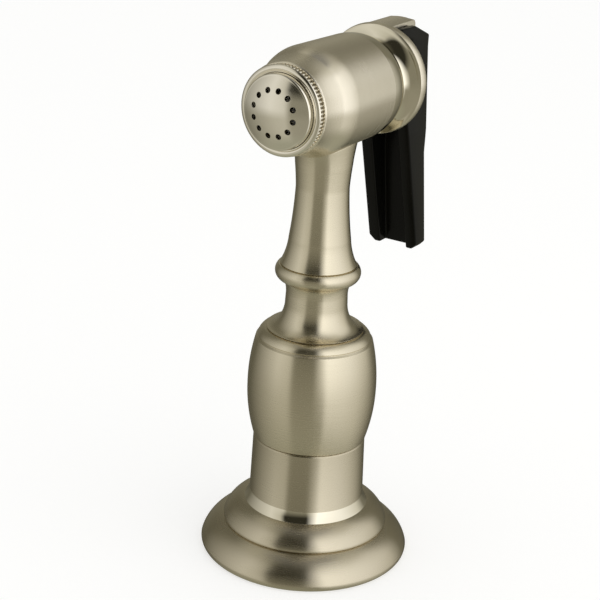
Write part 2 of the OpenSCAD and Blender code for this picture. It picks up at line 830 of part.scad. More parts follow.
module poppet() {
    color("goldenrod") on_head() difference() {
        hole(poppet_r, poppet_front, washer_front + seat_washer_t / 2);
        hole(washer_r, washer_front, washer_rear);
        hole(stem_tip_r, poppet_front - over, washer_rear);
    }
}

module stem_nut() {
    nut_r = 2.5;
    color("goldenrod") on_head() difference() {
        translate([0, 0, stem_front]) cylinder(r = nut_r, h = stem_nut_t, $fn = 6);
        hole(stem_tip_r, stem_front - over, poppet_front + over);
    }
}

// Front view of the lever, drawn as [x, z], for half widths at the ears and at the paddle
module lever_front(ear, paddle, chamfer) {
    taper_top = pin_z - 1.6;
    taper_foot = pin_z - 24.6;
    half = [
        [ear, ear_top + over], [ear, taper_top],
        [paddle, taper_foot], [paddle, tip_z + chamfer], [paddle - chamfer, tip_z]
    ];
    polygon(concat(half, [for (i = [len(half) - 1:-1:0]) [-half[i].x, half[i].y]]));
}

// Side view of the lever, drawn as [y, z]; its front edge stays clear of the ring at full swing
module lever_side() {
    front_y = ring_rear + 0.9;
    front_foot_z = pin_z - 2.1;
    swing_z = pin_z - 24.2;
    swing_y = ring_rear + 0.7 + (pin_z - swing_z) * sin(trigger_swing);
    top_y = pin_y + 3;
    polygon([
        [front_y, ear_top], [top_y, ear_top],
        [pin_y + back_top, shoulder_z], [pin_y + back_knee, pin_z - knee_down],
        [pin_y + back_tip, tip_z], [pin_y + back_tip - tip_thick, tip_z],
        [swing_y, swing_z], [front_y, front_foot_z]
    ]);
}

// Space before the lever's back wall, open to the front, the top and the tip
module lever_channel() {
    ahead_y = ring_rear - 5;
    polygon([
        [ahead_y, ear_top + over], [inner_top_y, ear_top + over], [inner_top_y, shoulder_z],
        [pin_y + back_knee - back_wall, pin_z - knee_down], [pin_y + back_tip - back_wall, tip_z],
        [ahead_y, tip_z - over]
    ]);
}

// Extrudes a side view drawn as [y, z] over the width w, centred on the plane of symmetry
module across(w) {
    translate([-w / 2, 0, 0]) rotate([90, 0, 90]) linear_extrude(height = w) children();
}

// Extrudes a front view drawn as [x, z] from y0 to y1
module through(y0, y1) {
    translate([0, y1, 0]) rotate([90, 0, 0]) linear_extrude(height = y1 - y0) children();
}

module trigger_lever() {
    wide = 3 * paddle_half;
    y0 = ring_rear - over;
    y1 = pin_y + back_tip + over;
    inner_ear = lug_half + free_gap + run_gap;
    rib_deep = inner_top_y + 0.6 - rib_y;
    color("black") difference() {
        union() {
            difference() {
                intersection() {
                    across(wide) lever_side();
                    through(y0, y1) lever_front(ear_half, paddle_half, tip_chamfer);
                }
                intersection() {
                    across(wide) lever_channel();
                    through(y0, y1 + over) lever_front(inner_ear, paddle_half - side_wall, 0);
                }
            }
            translate([-rib_half, rib_y, head_z - rib_tall]) cube([2 * rib_half, rib_deep, 2 * rib_tall]);
        }
        across_pin(ear_half + over) hole(pin_r + run_gap, 0, 2 * (ear_half + over));
    }
}

deck_flange();
guide_bush();
base_gasket();
hose_connector();
swivel_seal();
snap_ring();
hose_washer();
tail_sleeve();
sleeve_seal();
barrel();
bell();
bell_seal();
neck();
neck_seal();
head_body();
face_washer();
diffuser();
knurled_bezel();
spray_face();
valve_seat();
return_spring();
collar_seal();
rear_collar();
stem_seal();
packing_washer();
gland_nut();
hinge_pin();
valve_stem();
seat_washer();
poppet();
stem_nut();
trigger_lever();
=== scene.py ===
"""Finished look of a kitchen side sprayer in its deck holder, built around its construction model."""

from math import asin, atan, atan2, copysign, cos, pi, radians, sin, sqrt, tan

import bmesh
import bpy
from bpy.props import FloatProperty, FloatVectorProperty, IntProperty, PointerProperty, StringProperty
from mathutils import Matrix, Vector


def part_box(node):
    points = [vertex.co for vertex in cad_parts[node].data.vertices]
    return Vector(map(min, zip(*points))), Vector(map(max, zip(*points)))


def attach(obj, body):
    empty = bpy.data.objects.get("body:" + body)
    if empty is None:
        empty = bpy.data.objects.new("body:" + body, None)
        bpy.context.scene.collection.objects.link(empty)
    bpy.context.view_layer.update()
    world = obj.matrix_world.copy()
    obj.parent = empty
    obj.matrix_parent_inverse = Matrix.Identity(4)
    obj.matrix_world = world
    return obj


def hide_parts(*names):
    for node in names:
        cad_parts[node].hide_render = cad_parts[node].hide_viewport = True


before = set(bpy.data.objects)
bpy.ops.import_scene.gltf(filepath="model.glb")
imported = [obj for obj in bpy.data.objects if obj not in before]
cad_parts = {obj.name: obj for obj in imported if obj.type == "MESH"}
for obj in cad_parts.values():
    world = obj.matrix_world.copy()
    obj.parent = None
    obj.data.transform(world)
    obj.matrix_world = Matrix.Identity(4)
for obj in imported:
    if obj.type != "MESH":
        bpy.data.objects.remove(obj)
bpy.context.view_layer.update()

bl_info = {
    "name": "Kitchen side sprayer",
    "version": (1, 0, 0),
    "blender": (4, 5, 0),
    "location": "3D View > Sidebar > Sprayer",
    "description": "Dresses a side sprayer and its deck holder in turned metal and moulded plastic",
    "category": "Object",
}

MM = 0.001

FLANGE_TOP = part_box("deck_flange")[1]
BARREL_LOW, BARREL_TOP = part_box("barrel")
BELL_LOW, BELL_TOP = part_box("bell")
HEAD_LOW, HEAD_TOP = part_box("head_body")
BEZEL_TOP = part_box("knurled_bezel")[1]
FACE_LOW, FACE_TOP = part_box("spray_face")
LEVER_LOW, LEVER_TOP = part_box("trigger_lever")
PIN_LOW, PIN_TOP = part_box("hinge_pin")
NUT_LOW, NUT_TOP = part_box("gland_nut")
SLEEVE_LOW, SLEEVE_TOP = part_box("tail_sleeve")
HEAD_Z = (HEAD_LOW.z + HEAD_TOP.z) / 2
PIN_Y = (PIN_LOW.y + PIN_TOP.y) / 2
PIN_Z = (PIN_LOW.z + PIN_TOP.z) / 2
PIN_R = (PIN_TOP.z - PIN_LOW.z) / 2
NUT_CORNER = (NUT_TOP.z - NUT_LOW.z) / 2
NUT_PROUD = 2.4 * MM
RING_REAR = NUT_TOP.y - NUT_PROUD

# Radial play in joints, how far a turned edge is broken, and how far a cutter runs past its cut.
PLAY = 0.1 * MM
BREAK = 0.3 * MM
PAST = 1 * MM
# Distance under which points are one, and how deep the relief of a surface is for its bump.
TINY = 1e-7
RELIEF = 0.02 * MM
# How far the lever swings, and the radius of the bores that take the valve stem.
SWING = radians(11)
STEM_BORE = 1.8 * MM


# ---------------------------------------------------------------- sizes and colours that a user may change


def length(name, about, default):
    """A length in metres."""
    return FloatProperty(name=name, description=about, default=default, min=0, unit="LENGTH", precision=5)


def angle(name, about, degrees):
    """An angle, given in degrees."""
    return FloatProperty(name=name, description=about, default=radians(degrees), subtype="ANGLE")


def paint(name, about, default):
    """A colour as an sRGB hex value, such as #C8BFA9."""
    return StringProperty(name=name, description=about, default=default, maxlen=7)


class HolderSizes(bpy.types.PropertyGroup):
    """Outline of the deck holder"""

    rim_r: length("Rim radius", "Widest radius of the flange", FLANGE_TOP.x)
    rim_z: length("Rim height", "Height of its widest line", 1.8 * MM)
    crease_r: length("Crease radius", "Radius of the crease between the tiers", 22.4 * MM)
    crease_z: length("Crease height", "Height of that crease", 8.3 * MM)
    lip_h: length("Lip height", "Height of the upper tier's lip", 0.7 * MM)
    low_bow: length("Lower bow", "Bow of the lower tier", 1.25 * MM)
    high_bow: length("Upper bow", "Bow of the upper tier", 0.95 * MM)
    seam_r: length("Seam radius", "Radius where the polished ring begins", 16.9 * MM)
    seam_z: length("Seam height", "Height where that ring begins", 14.2 * MM)
    ring_h: length("Ring height", "Height of the polished ring", 2.8 * MM)
    skirt_foot_r: length("Skirt foot radius", "Radius of the skirt above the ring", 15.6 * MM)
    skirt_top_r: length("Skirt top radius", "Radius of the skirt at its top", 15.2 * MM)
    bore_r: length("Bore radius", "Radius of the bore for the bush", 13.5 * MM)


class HandleSizes(bpy.types.PropertyGroup):
    """Outlines of the barrel, the bell and the neck"""

    foot_r: length("Foot radius", "Radius of the barrel at its foot", 15.3 * MM)
    wide_r: length("Barrel radius", "Widest radius of the barrel", BARREL_TOP.x)
    wide_h: length("Widest height", "Widest line above the foot", 14.5 * MM)
    groove_h: length("Groove height", "Lower groove above the foot", 28.7 * MM)
    groove_d: length("Groove depth", "Depth of both grooves", 0.7 * MM)
    shoulder_r: length("Shoulder radius", "Radius below the lower groove", 15.7 * MM)
    bell_r: length("Bell radius", "Radius of the bell's rim", BELL_TOP.x)
    waist_r: length("Waist radius", "Radius of the bell's waist", 8.2 * MM)
    cove_h: length("Cove height", "Height of the cove below the waist", 7.4 * MM)
    waist_h: length("Waist height", "Height of the waist", 2.4 * MM)
    flare_h: length("Flare height", "Height of the flare below the bead", 3.8 * MM)
    bead_root_r: length("Bead root radius", "Radius at the bead's upper edge", 10.5 * MM)
    bead_low_r: length("Bead lower radius", "Radius at the bead's lower edge", 9.6 * MM)
    bead_out: length("Bead", "How far the bead stands out", 1.3 * MM)
    neck_foot_r: length("Neck foot radius", "Radius of the neck at its foot", 10.1 * MM)
    neck_r: length("Neck radius", "Thinnest radius of the neck", 7 * MM)
    neck_thin_h: length("Thinnest height", "Thinnest line above the neck's foot", 21.3 * MM)
    neck_top_r: length("Neck top radius", "Radius of the neck at the head", 8.3 * MM)
    passage_r: length("Passage radius", "Radius of the water passage", 3.1 * MM)


class HeadSizes(bpy.types.PropertyGroup):
    """Outlines of the head, its spray face and its rear collar"""

    front_r: length("Front radius", "Radius of the head's front edge", 11.8 * MM)
    wide_r: length("Head radius", "Widest radius of the head", HEAD_TOP.x)
    wide_y: length("Widest place", "Widest line before the neck's axis", 8.4 * MM)
    rear_r: length("Rear radius", "Radius of the head near its rear edge", 14 * MM)
    rear_len: length("Rear rounding", "Length of the rounding at the rear", 6.3 * MM)
    rear_drop: length("Rear drop", "Fall of that rounding to the axis", 1.5 * MM)
    rear_gap: length("Rear gap", "Length between rounding and cove", 0.6 * MM)
    groove_r: length("Cove radius", "Smallest radius of the cove", 10.4 * MM)
    ring_r: length("Ring radius", "Radius of the ring behind the cove", 14.85 * MM)
    ring_t: length("Ring thickness", "Thickness of that ring", 3.5 * MM)
    lug_half: length("Lug half width", "Half width of the hinge lug", 3.7 * MM)
    lug_len: length("Lug length", "Reach of the lug behind the ring", 12 * MM)
    bezel_r: length("Bezel radius", "Radius of the bezel", BEZEL_TOP.x)
    knurl_d: length("Knurl depth", "Depth of the knurled band", 0.4 * MM)
    knurl_len: length("Knurl length", "Length of the knurled band", 1.65 * MM)
    knurl_teeth: IntProperty(name="Knurl teeth", description="Number of knurl teeth", default=71, min=12)
    face_r: length("Face radius", "Radius of the domed face", FACE_TOP.x)
    dome_h: length("Dome height", "Height of the dome", 4.1 * MM)
    cap_r: length("Cap radius", "Radius of the ball of which the dome is a cap", 20 * MM)
    dome_edge: length("Dome edge", "Rounding at the edge of the dome", 0.5 * MM)
    face_wall: length("Face wall", "Wall of the dome", 1 * MM)
    face_holes: IntProperty(name="Spray holes", description="Number of spray holes", default=12, min=1)
    hole_r: length("Hole radius", "Radius of a spray hole", 0.75 * MM)
    hole_ring_r: length("Hole ring radius", "Radius of the ring of holes", 5.8 * MM)
    face_turn: angle("Face turn", "Turn of the face about its axis", 3)


class LeverSizes(bpy.types.PropertyGroup):
    """Shape of the squeeze lever"""

    ear_half: length("Ear half width", "Half width at the ears", 6 * MM)
    paddle_half: length("Paddle half width", "Half width at the paddle", LEVER_TOP.x)
    back_top: length("Back at the ears", "Back behind the pin at the ears", 11 * MM)
    back_knee: length("Back at the knee", "Back behind the pin at the knee", 10.3 * MM)
    knee_down: length("Knee depth", "Knee below the pin", 31.2 * MM)
    tip_thick: length("Tip thickness", "Thickness at the tip", 5.2 * MM)
    back_wall: length("Back wall", "Wall of the back", 1.8 * MM)
    side_wall: length("Side wall", "Wall of the sides", 3.5 * MM)
    ear_gap: length("Ear gap", "Play between the ears and the lug", 0.35 * MM)
    chamfer: length("Tip chamfer", "Width of the chamfers at the tip", 1.7 * MM)
    edge_r: length("Edge radius", "Radius of the moulded edges", 0.45 * MM)
    rib_half: length("Rib half width", "Half width of the rib that pushes the stem", 1.8 * MM)
    rib_tall: length("Rib half height", "Half height of that rib", 2.2 * MM)


class FinishColours(bpy.types.PropertyGroup):
    """Colours of the materials"""

    nickel: paint("Satin nickel", "Warm grey of brushed nickel", "#DCD3BC")
    # Painted shade and light: holder and head are the same nickel plate as the upright, with the holder's
    # grey darkened as shade and the head's grey lightened as light.
    holder: paint("Satin nickel of the holder", "Slightly darker grey", "#CEC5AF")
    head: paint("Satin nickel of the head", "Slightly paler grey", "#F0E8D5")
    face: paint("Nickel of the face", "Paler grey of bezel and face", "#EFE9DA")
    # Painted shade: a darker grey for the bottoms of the knurl, standing for the shade between the teeth.
    valley: paint("Dull nickel", "Dull plate in the bottoms of the knurl", "#948B79")
    polish: paint("Polished nickel", "Brighter grey of the polished rings", "#E6DFCB")
    brass: paint("Brass", "Turned yellow brass", "#D8B668")
    steel: paint("Stainless steel", "Ground stainless steel", "#C9C8C4")
    lever: paint("Black plastic", "Glossy moulded black", "#0B0B08")
    acetal: paint("White plastic", "Natural acetal", "#E4E3DC")
    rubber: paint("Rubber", "Black rubber of the seals", "#1A1A1A")
    floor: paint("Floor", "Plain pale floor", "#C8C8C6")


class StageSettings(bpy.types.PropertyGroup):
    """Camera and light"""

    eye: FloatVectorProperty(
        name="Eye", description="Place of the camera", size=3, subtype="TRANSLATION", unit="LENGTH",
        default=(0.20888, -0.35747, 0.22966),
    )
    turn: angle("Azimuth", "Direction of view, from +Y towards -X", 30.9)
    tilt: angle("Elevation", "Downward tilt of the view", 20.85)
    roll: angle("Roll", "Turn of the camera about its view", 2.98)
    lens: FloatProperty(name="Lens", description="Focal length in mm, 36 mm sensor", default=100.2, min=10)
    level: FloatProperty(name="Level", description="Strength of the even light", default=0.75, min=0)
    lift: FloatProperty(name="Floor lift", description="Glow of the floor in view", default=0.54, min=0)


# ---------------------------------------------------------------- outlines and meshes


def arc(a, b, bow, steps=14):
    """Points from a to b on a circle that bows out to the right of the way by bow."""
    a, b = Vector(a), Vector(b)
    way = b - a
    half = way.length / 2
    radius = (half * half + bow * bow) / (2 * abs(bow))
    side = Vector((way.y, -way.x)).normalized()
    centre = (a + b) / 2 + side * (bow - copysign(radius, bow))
    start = atan2(a.y - centre.y, a.x - centre.x)
    sweep = copysign(4 * atan(abs(bow) / half), bow)
    angles = [start + sweep * i / steps for i in range(steps + 1)]
    return [(centre.x + radius * cos(t), centre.y + radius * sin(t)) for t in angles]


def ellipse(centre, half_axes, first, last, steps=24):
    """Points on an ellipse between two angles in degrees."""
    angles = [radians(first + (last - first) * i / steps) for i in range(steps + 1)]
    return [(centre[0] + half_axes[0] * cos(t), centre[1] + half_axes[1] * sin(t)) for t in angles]


def other_finish(points):
    """The same points, from which the outline goes on in the piece's second material."""
    return [(r, along, 1) for r, along in points]


def soften(outline, radius, sharp=radians(24), steps=4):
    """A closed outline of (r, along, finish) with every sharp corner off the axis rounded."""
    rounded = []
    for i, (r, along, finish) in enumerate(outline):
        here = Vector((r, along))
        back = Vector(outline[i - 1][:2]) - here
        ahead = Vector(outline[(i + 1) % len(outline)][:2]) - here
        if min(back.length, ahead.length) < 0.1 * TINY:
            continue
        turn = pi - back.angle(ahead)
        if turn < sharp or r < TINY:
            rounded.append((r, along, finish))
            continue
        cut = min(radius * tan(turn / 2), 0.45 * back.length, 0.45 * ahead.length)
        start, end = here + back.normalized() * cut, here + ahead.normalized() * cut
        for k in range(steps + 1):
            t = k / steps
            point = start * (1 - t) ** 2 + here * 2 * t * (1 - t) + end * t * t
            rounded.append((point.x, point.y, finish))
    return rounded


def new_object(name, mesh_maker):
    """An object whose mesh is filled by mesh_maker(bm)."""
    mesh = bpy.data.meshes.new(name)
    bm = bmesh.new()
    mesh_maker(bm)
    bmesh.ops.remove_doubles(bm, verts=bm.verts, dist=TINY)
    bmesh.ops.recalc_face_normals(bm, faces=bm.faces)
    bm.to_mesh(mesh)
    bm.free()
    piece = bpy.data.objects.new(name, mesh)
    bpy.context.scene.collection.objects.link(piece)
    return piece


def shade(piece, sharp=32):
    """Smooth shading, with edges of more than sharp degrees kept crisp."""
    piece.data.shade_smooth()
    piece.data.set_sharp_from_angle(angle=radians(sharp))
    return piece


def lathe(name, outline, axis="Z", edge=0.15 * MM, steps=192):
    """Turns a closed outline of (r, along) about Z, the head's axis along Y, or X, and rounds its edges."""
    points = soften([(*point, 0)[:3] for point in outline], edge)
    place = {
        "Z": lambda r, along, t: (r * cos(t), r * sin(t), along),
        "Y": lambda r, along, t: (r * cos(t), along, HEAD_Z + r * sin(t)),
        "X": lambda r, along, t: (along, r * cos(t), r * sin(t)),
    }[axis]

    def fill(bm):
        rings = []
        for r, along, _ in points:
            if r < TINY:
                rings.append([bm.verts.new(place(0, along, 0))] * steps)
            else:
                rings.append([bm.verts.new(place(r, along, 2 * pi * k / steps)) for k in range(steps)])
        for i, here in enumerate(rings):
            ahead = rings[(i + 1) % len(rings)]
            for k in range(steps):
                corners = [here[k], here[(k + 1) % steps], ahead[(k + 1) % steps], ahead[k]]
                corners = list(dict.fromkeys(corners))
                if len(corners) > 2:
                    bm.faces.new(corners).material_index = points[i][2]

    return shade(new_object(name, fill))


def rod_on_hinge(name, radius, reach, edge=0.15 * MM, steps=64):
    """A rod along X on the hinge's axis, which reaches as far to both sides."""
    rod = lathe(name, [(0, -reach), (radius, -reach), (radius, reach), (0, reach)], "X", edge, steps)
    rod.data.transform(Matrix.Translation((0, PIN_Y, PIN_Z)))
    return rod


def slab(name, outline, start, end, axis):
    """Extrudes a flat outline along X, from [y, z] points, or along Y, from [x, z] points."""

    def fill(bm):
        def place(point, depth):
            return (depth, *point) if axis == "X" else (point[0], depth, point[1])

        front = [bm.verts.new(place(point, start)) for point in outline]
        back = [bm.verts.new(place(point, end)) for point in outline]
        bm.faces.new(front)
        bm.faces.new(back)
        for i in range(len(front)):
            k = (i + 1) % len(front)
            bm.faces.new((front[i], front[k], back[k], back[i]))

    return new_object(name, fill)


def settle(piece):
    """Turns a piece's modifiers into its plain mesh."""
    depsgraph = bpy.context.evaluated_depsgraph_get()
    mesh = bpy.data.meshes.new_from_object(piece.evaluated_get(depsgraph))
    piece.modifiers.clear()
    old = piece.data
    piece.data = mesh
    mesh.name = piece.name
    bpy.data.meshes.remove(old)
    return piece


def carve(piece, other, operation="DIFFERENCE"):
    """Cuts, joins or intersects a piece with another one, which is used up."""
    tool = piece.modifiers.new("carve", "BOOLEAN")
    tool.operation, tool.solver, tool.object = operation, "EXACT", other
    settle(piece)
    bpy.data.objects.remove(other)


def round_edges(piece, width, segments=3):
    """Rounds every edge sharper than 25 degrees."""
    tool = piece.modifiers.new("edges", "BEVEL")
    tool.limit_method, tool.angle_limit = "ANGLE", radians(25)
    tool.width, tool.segments = width, segments
    tool.use_clamp_overlap = True
    settle(piece)


def finish_with(piece, *keys):
    """Gives the piece its materials in the order of its finishes, and keeps the finish of each face."""
    slots = piece.data.materials
    for place, material in enumerate(map(material_for, keys)):
        if place < len(slots):
            slots[place] = material
        else:
            slots.append(material)


def mount(piece, body, slot, node, *keys):
    """The piece gets its materials, rides on a body and stands for its construction node; the slot is not
    used.
    """
    finish_with(piece, *keys)
    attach(piece, body)
    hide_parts(node)


# ---------------------------------------------------------------- materials


def colour(hex_value):
    """Linear RGBA from an sRGB hex value."""
    levels = [int(hex_value[i : i + 2], 16) / 255 for i in (1, 3, 5)]
    return (*[c / 12.92 if c <= 0.04045 else ((c + 0.055) / 1.055) ** 2.4 for c in levels], 1)


def plug(tree, node, sockets):
    """Fills a node's inputs: each with a value, or by a link from a socket or from a node's first output."""
    for key, value in sockets.items():
        if isinstance(value, bpy.types.Node):
            value = value.outputs[0]
        if isinstance(value, bpy.types.NodeSocket):
            tree.links.new(value, node.inputs[key])
        else:
            node.inputs[key].default_value = value


def add(tree, kind, sockets=None, **settings):
    """Adds a node with its settings, and fills its inputs."""
    new = tree.nodes.new(kind)
    for key, value in settings.items():
        setattr(new, key, value)
    plug(tree, new, sockets or {})
    return new


def maths(tree, operation, *values):
    """Adds a node for one operation on numbers."""
    return add(tree, "ShaderNodeMath", dict(enumerate(values)), operation=operation)


def vectors(tree, operation, *values):
    """Adds a node for one operation on vectors."""
    return add(tree, "ShaderNodeVectorMath", dict(enumerate(values)), operation=operation)


def new_material(name):
    """An empty node material, with its tree and its shader."""
    material = bpy.data.materials.new(name)
    material.use_nodes = True
    tree = material.node_tree
    return material, tree, tree.nodes["Principled BSDF"]


def turned_metal(name, tint, axis="Z", rough=0.26, lines=0.02, bump=0.01, pull=0.87):
    """Metal brushed or polished on a lathe: fine lines run round its axis, and gleams run along it."""
    material, tree, shader = new_material(name)
    across, along, centre, sweep = {
        "Z": ((1, 1, 0), (0, 0, 1), (0, 0, 0), ("X", "Y")),
        "Y": ((1, 0, 1), (0, 1, 0), (0, 0, HEAD_Z), ("X", "Z")),
    }[axis]
    point = add(tree, "ShaderNodeTexCoord").outputs["Object"]
    centred = vectors(tree, "SUBTRACT", point, centre)
    flat = vectors(tree, "MULTIPLY", centred, across)
    radius = vectors(tree, "LENGTH", flat).outputs["Value"]
    place = vectors(tree, "DOT_PRODUCT", centred, along).outputs["Value"]
    spoke = vectors(tree, "NORMALIZE", flat)
    around = vectors(tree, "CROSS_PRODUCT", along, spoke)
    # The lines of a brushing belt are under 0.1 mm apart, and are drawn about 0.3 mm apart to show.
    line_pitch = 0.3 * MM
    fine = maths(tree, "MULTIPLY", maths(tree, "ADD", radius, place), 1 / line_pitch)
    wide_spoke = add(tree, "ShaderNodeVectorMath", {0: spoke, "Scale": 2.0}, operation="SCALE")
    parts = add(tree, "ShaderNodeSeparateXYZ", {0: wide_spoke}).outputs
    spot = add(tree, "ShaderNodeCombineXYZ", {"X": fine, "Y": parts[sweep[0]], "Z": parts[sweep[1]]})
    brushing = add(tree, "ShaderNodeTexNoise", {"Vector": spot, "Scale": 1.0, "Detail": 2.0})
    clouds = add(tree, "ShaderNodeTexNoise", {"Vector": point, "Scale": 90.0, "Detail": 2.0})
    # Brushing changes the gloss from line to line, and handling makes it vary softly over about a centimetre.
    spread = add(tree, "ShaderNodeMapRange", {
        "Value": brushing, "From Min": 0.3, "From Max": 0.7, "To Min": rough - lines, "To Max": rough + lines,
    })
    handling = add(tree, "ShaderNodeMapRange", {"Value": clouds, "To Min": -0.02, "To Max": 0.02})
    # Painted shade: the colour is a little darker in the bottoms of the lines.
    line_shade = [c * 0.95 for c in colour(tint)[:3]] + [1]
    shades = add(tree, "ShaderNodeMix", {"Factor": brushing, 6: line_shade, 7: colour(tint)}, data_type="RGBA")
    turned = add(
        tree, "ShaderNodeVectorTransform", {0: around},
        vector_type="VECTOR", convert_from="OBJECT", convert_to="WORLD",
    )
    facing = add(tree, "ShaderNodeNewGeometry").outputs["Normal"]
    plug(tree, shader, {
        "Base Color": shades.outputs[2],
        "Roughness": maths(tree, "ADD", spread, handling),
        "Normal": add(tree, "ShaderNodeBump", {"Strength": bump, "Distance": RELIEF, "Height": brushing}),
        "Tangent": vectors(tree, "CROSS_PRODUCT", facing, turned),
        "Metallic": 1,
        "Anisotropic": pull,
    })
    return material


def moulded(name, tint, rough, bump, grain=0.5 * MM, gleam=0.5):
    """Plastic or rubber out of a mould: one colour, with a faint grain in its gloss and surface."""
    material, tree, shader = new_material(name)
    point = add(tree, "ShaderNodeTexCoord").outputs["Object"]
    skin = add(tree, "ShaderNodeTexNoise", {"Vector": point, "Scale": 1 / grain, "Detail": 3.0})
    flow = add(tree, "ShaderNodeTexNoise", {"Vector": point, "Scale": 60.0, "Detail": 2.0})
    pale = [min(1, c * 1.25 + 0.002) for c in colour(tint)[:3]] + [1]
    shades = add(tree, "ShaderNodeMix", {"Factor": flow, 6: colour(tint), 7: pale}, data_type="RGBA")
    gloss = add(tree, "ShaderNodeMapRange", {"Value": flow, "To Min": rough - 0.05, "To Max": rough + 0.07})
    plug(tree, shader, {
        "Base Color": shades.outputs[2],
        "Roughness": gloss,
        "Normal": add(tree, "ShaderNodeBump", {"Strength": bump, "Distance": RELIEF, "Height": skin}),
        "IOR": 1.49,
        "Specular IOR Level": gleam,
    })
    return material


BUFFED = dict(rough=0.07, pull=0.2)
# Each material's maker, name, colour in FinishColours, and settings.
MATERIALS = {
    # Brushed nickel plate over brass: satin, with lines round the part and long gleams along it.
    "satin_z": (turned_metal, "brushed_nickel_upright", "nickel", {}),
    # The holder's copy of this nickel is painted darker as shade, and the head's copy paler as light.
    "satin_low": (turned_metal, "brushed_nickel_holder", "holder", {}),
    "satin_y": (turned_metal, "brushed_nickel_head", "head", dict(axis="Y", lines=0.01, bump=0.003)),
    # Nickel plate left bright from the buffing wheel, with only faint lines.
    "bright_z": (turned_metal, "buffed_nickel_upright", "polish", BUFFED),
    "bright_y": (turned_metal, "buffed_nickel_head", "polish", dict(BUFFED, axis="Y")),
    # Nickel plate on the bezel and the face, finished softer than the buffed rings.
    "soft_y": (turned_metal, "soft_nickel_face", "face", dict(axis="Y", rough=0.14, lines=0.03, pull=0.2)),
    # Nickel plate in the bottoms of the knurl, painted darker as the shade between the teeth, and rougher.
    "dull_y": (
        turned_metal, "dull_nickel_knurl", "valley",
        dict(axis="Y", rough=0.45, lines=0.03, bump=0.02, pull=0.2),
    ),
    # Turned brass, bare, with clear tool marks.
    "brass_z": (turned_metal, "turned_brass_upright", "brass", dict(rough=0.25, bump=0.2)),
    "brass_y": (turned_metal, "turned_brass_head", "brass", dict(axis="Y", rough=0.25, bump=0.2)),
    # Stainless steel, ground round.
    "steel": (turned_metal, "ground_stainless", "steel", dict(axis="Y", rough=0.22, bump=0.1)),
    # Acrylonitrile butadiene styrene from a polished mould: deep black with clear reflections.
    "black": (moulded, "glossy_black_abs", "lever", dict(rough=0.22, bump=0.04, gleam=0.12)),
    # Acetal in its natural white, with the faint bloom of a plain mould.
    "white": (moulded, "natural_acetal", "acetal", dict(rough=0.42, bump=0.08)),
    # Nitrile rubber with a fine, dull grain.
    "rubber": (moulded, "nitrile_rubber", "rubber", dict(rough=0.6, bump=0.15, grain=0.3 * MM)),
}


def material_for(key):
    """The material of that key, made when it is first asked for."""
    maker, name, hue, settings = MATERIALS[key]
    tint = getattr(bpy.context.scene.sprayer_colours, hue)
    return bpy.data.materials.get(name) or maker(name, tint, **settings)


# ---------------------------------------------------------------- operators, one for each piece or group


class SPRAYER_OT_holder(bpy.types.Operator):
    """Turns the stepped flange and skirt of the deck holder"""

    bl_idname = "sprayer.holder"
    bl_label = "Deck holder"

    def execute(self, context):
        s = context.scene.sprayer_holder
        top = FLANGE_TOP.z
        ring_z = s.seam_z + s.ring_h
        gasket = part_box("base_gasket")[1]
        gasket_in = 19 * MM
        collar_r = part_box("guide_bush")[1].x
        collar_z = 2 * MM
        foot_r = s.rim_r - 0.8 * MM
        crease_in, crease_out = s.crease_r - 0.6 * MM, s.crease_r + 0.1 * MM
        holder = lathe("holder_flange_and_skirt", [
            (collar_r, 0), (gasket_in, 0), (gasket_in, gasket.z), (gasket.x, gasket.z), (gasket.x, 0),
            (foot_r, 0),
            *arc((foot_r, 0), (s.rim_r, s.rim_z), 0.25 * MM)[1:],
            *arc((s.rim_r, s.rim_z), (crease_in, s.crease_z), s.low_bow, 30)[1:],
            (crease_out, s.crease_z + 0.25 * MM),
            *arc((crease_out, s.crease_z + s.lip_h), (s.seam_r, s.seam_z), s.high_bow, 24)[:-1],
            *other_finish(arc((s.seam_r, s.seam_z), (s.skirt_foot_r, ring_z), -0.1 * MM)[:-1]),
            (s.skirt_foot_r, ring_z), (s.skirt_top_r, top - BREAK), (s.skirt_top_r - BREAK, top),
            (s.bore_r, top), (s.bore_r, collar_z), (collar_r, collar_z),
        ], edge=0.12 * MM)
        mount(holder, "holder", "satin_nickel", "deck_flange", "satin_low", "bright_z")
        return {"FINISHED"}


class SPRAYER_OT_barrel(bpy.types.Operator):
    """Turns the barrel-shaped foot of the handle with its grooved shoulder"""

    bl_idname = "sprayer.barrel"
    bl_label = "Barrel"

    def execute(self, context):
        s = context.scene.sprayer_handle
        foot, top = BARREL_LOW.z, BARREL_TOP.z
        groove_z = foot + s.groove_h
        bead_r = (s.shoulder_r + s.bell_r) / 2 + 0.7 * MM
        thread_r = SLEEVE_TOP.x + PLAY
        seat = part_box("sleeve_seal")[1].z
        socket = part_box("bell_seal")[0].z
        spigot_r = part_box("bell_seal")[1].x + PLAY
        inner_r = 7.5 * MM
        barrel = lathe("handle_barrel", [
            (thread_r, foot), (s.foot_r - BREAK, foot),
            *arc((s.foot_r, foot + BREAK), (s.wide_r, foot + s.wide_h), 0.55 * MM, 24),
            *arc((s.wide_r, foot + s.wide_h), (s.shoulder_r, groove_z - 0.5 * MM), 0.45 * MM, 24)[1:],
            (s.shoulder_r - s.groove_d, groove_z), (bead_r + 0.05 * MM, groove_z + 0.3 * MM),
            *arc((bead_r, groove_z + 0.35 * MM), (s.bell_r + 0.3 * MM, top - 0.25 * MM), 0.25 * MM)[1:],
            (s.bell_r - s.groove_d, top), (spigot_r, top), (spigot_r, socket), (inner_r, socket),
            (inner_r, seat), (thread_r, seat),
        ])
        mount(barrel, "wand", "satin_nickel", "barrel", "satin_z")
        return {"FINISHED"}


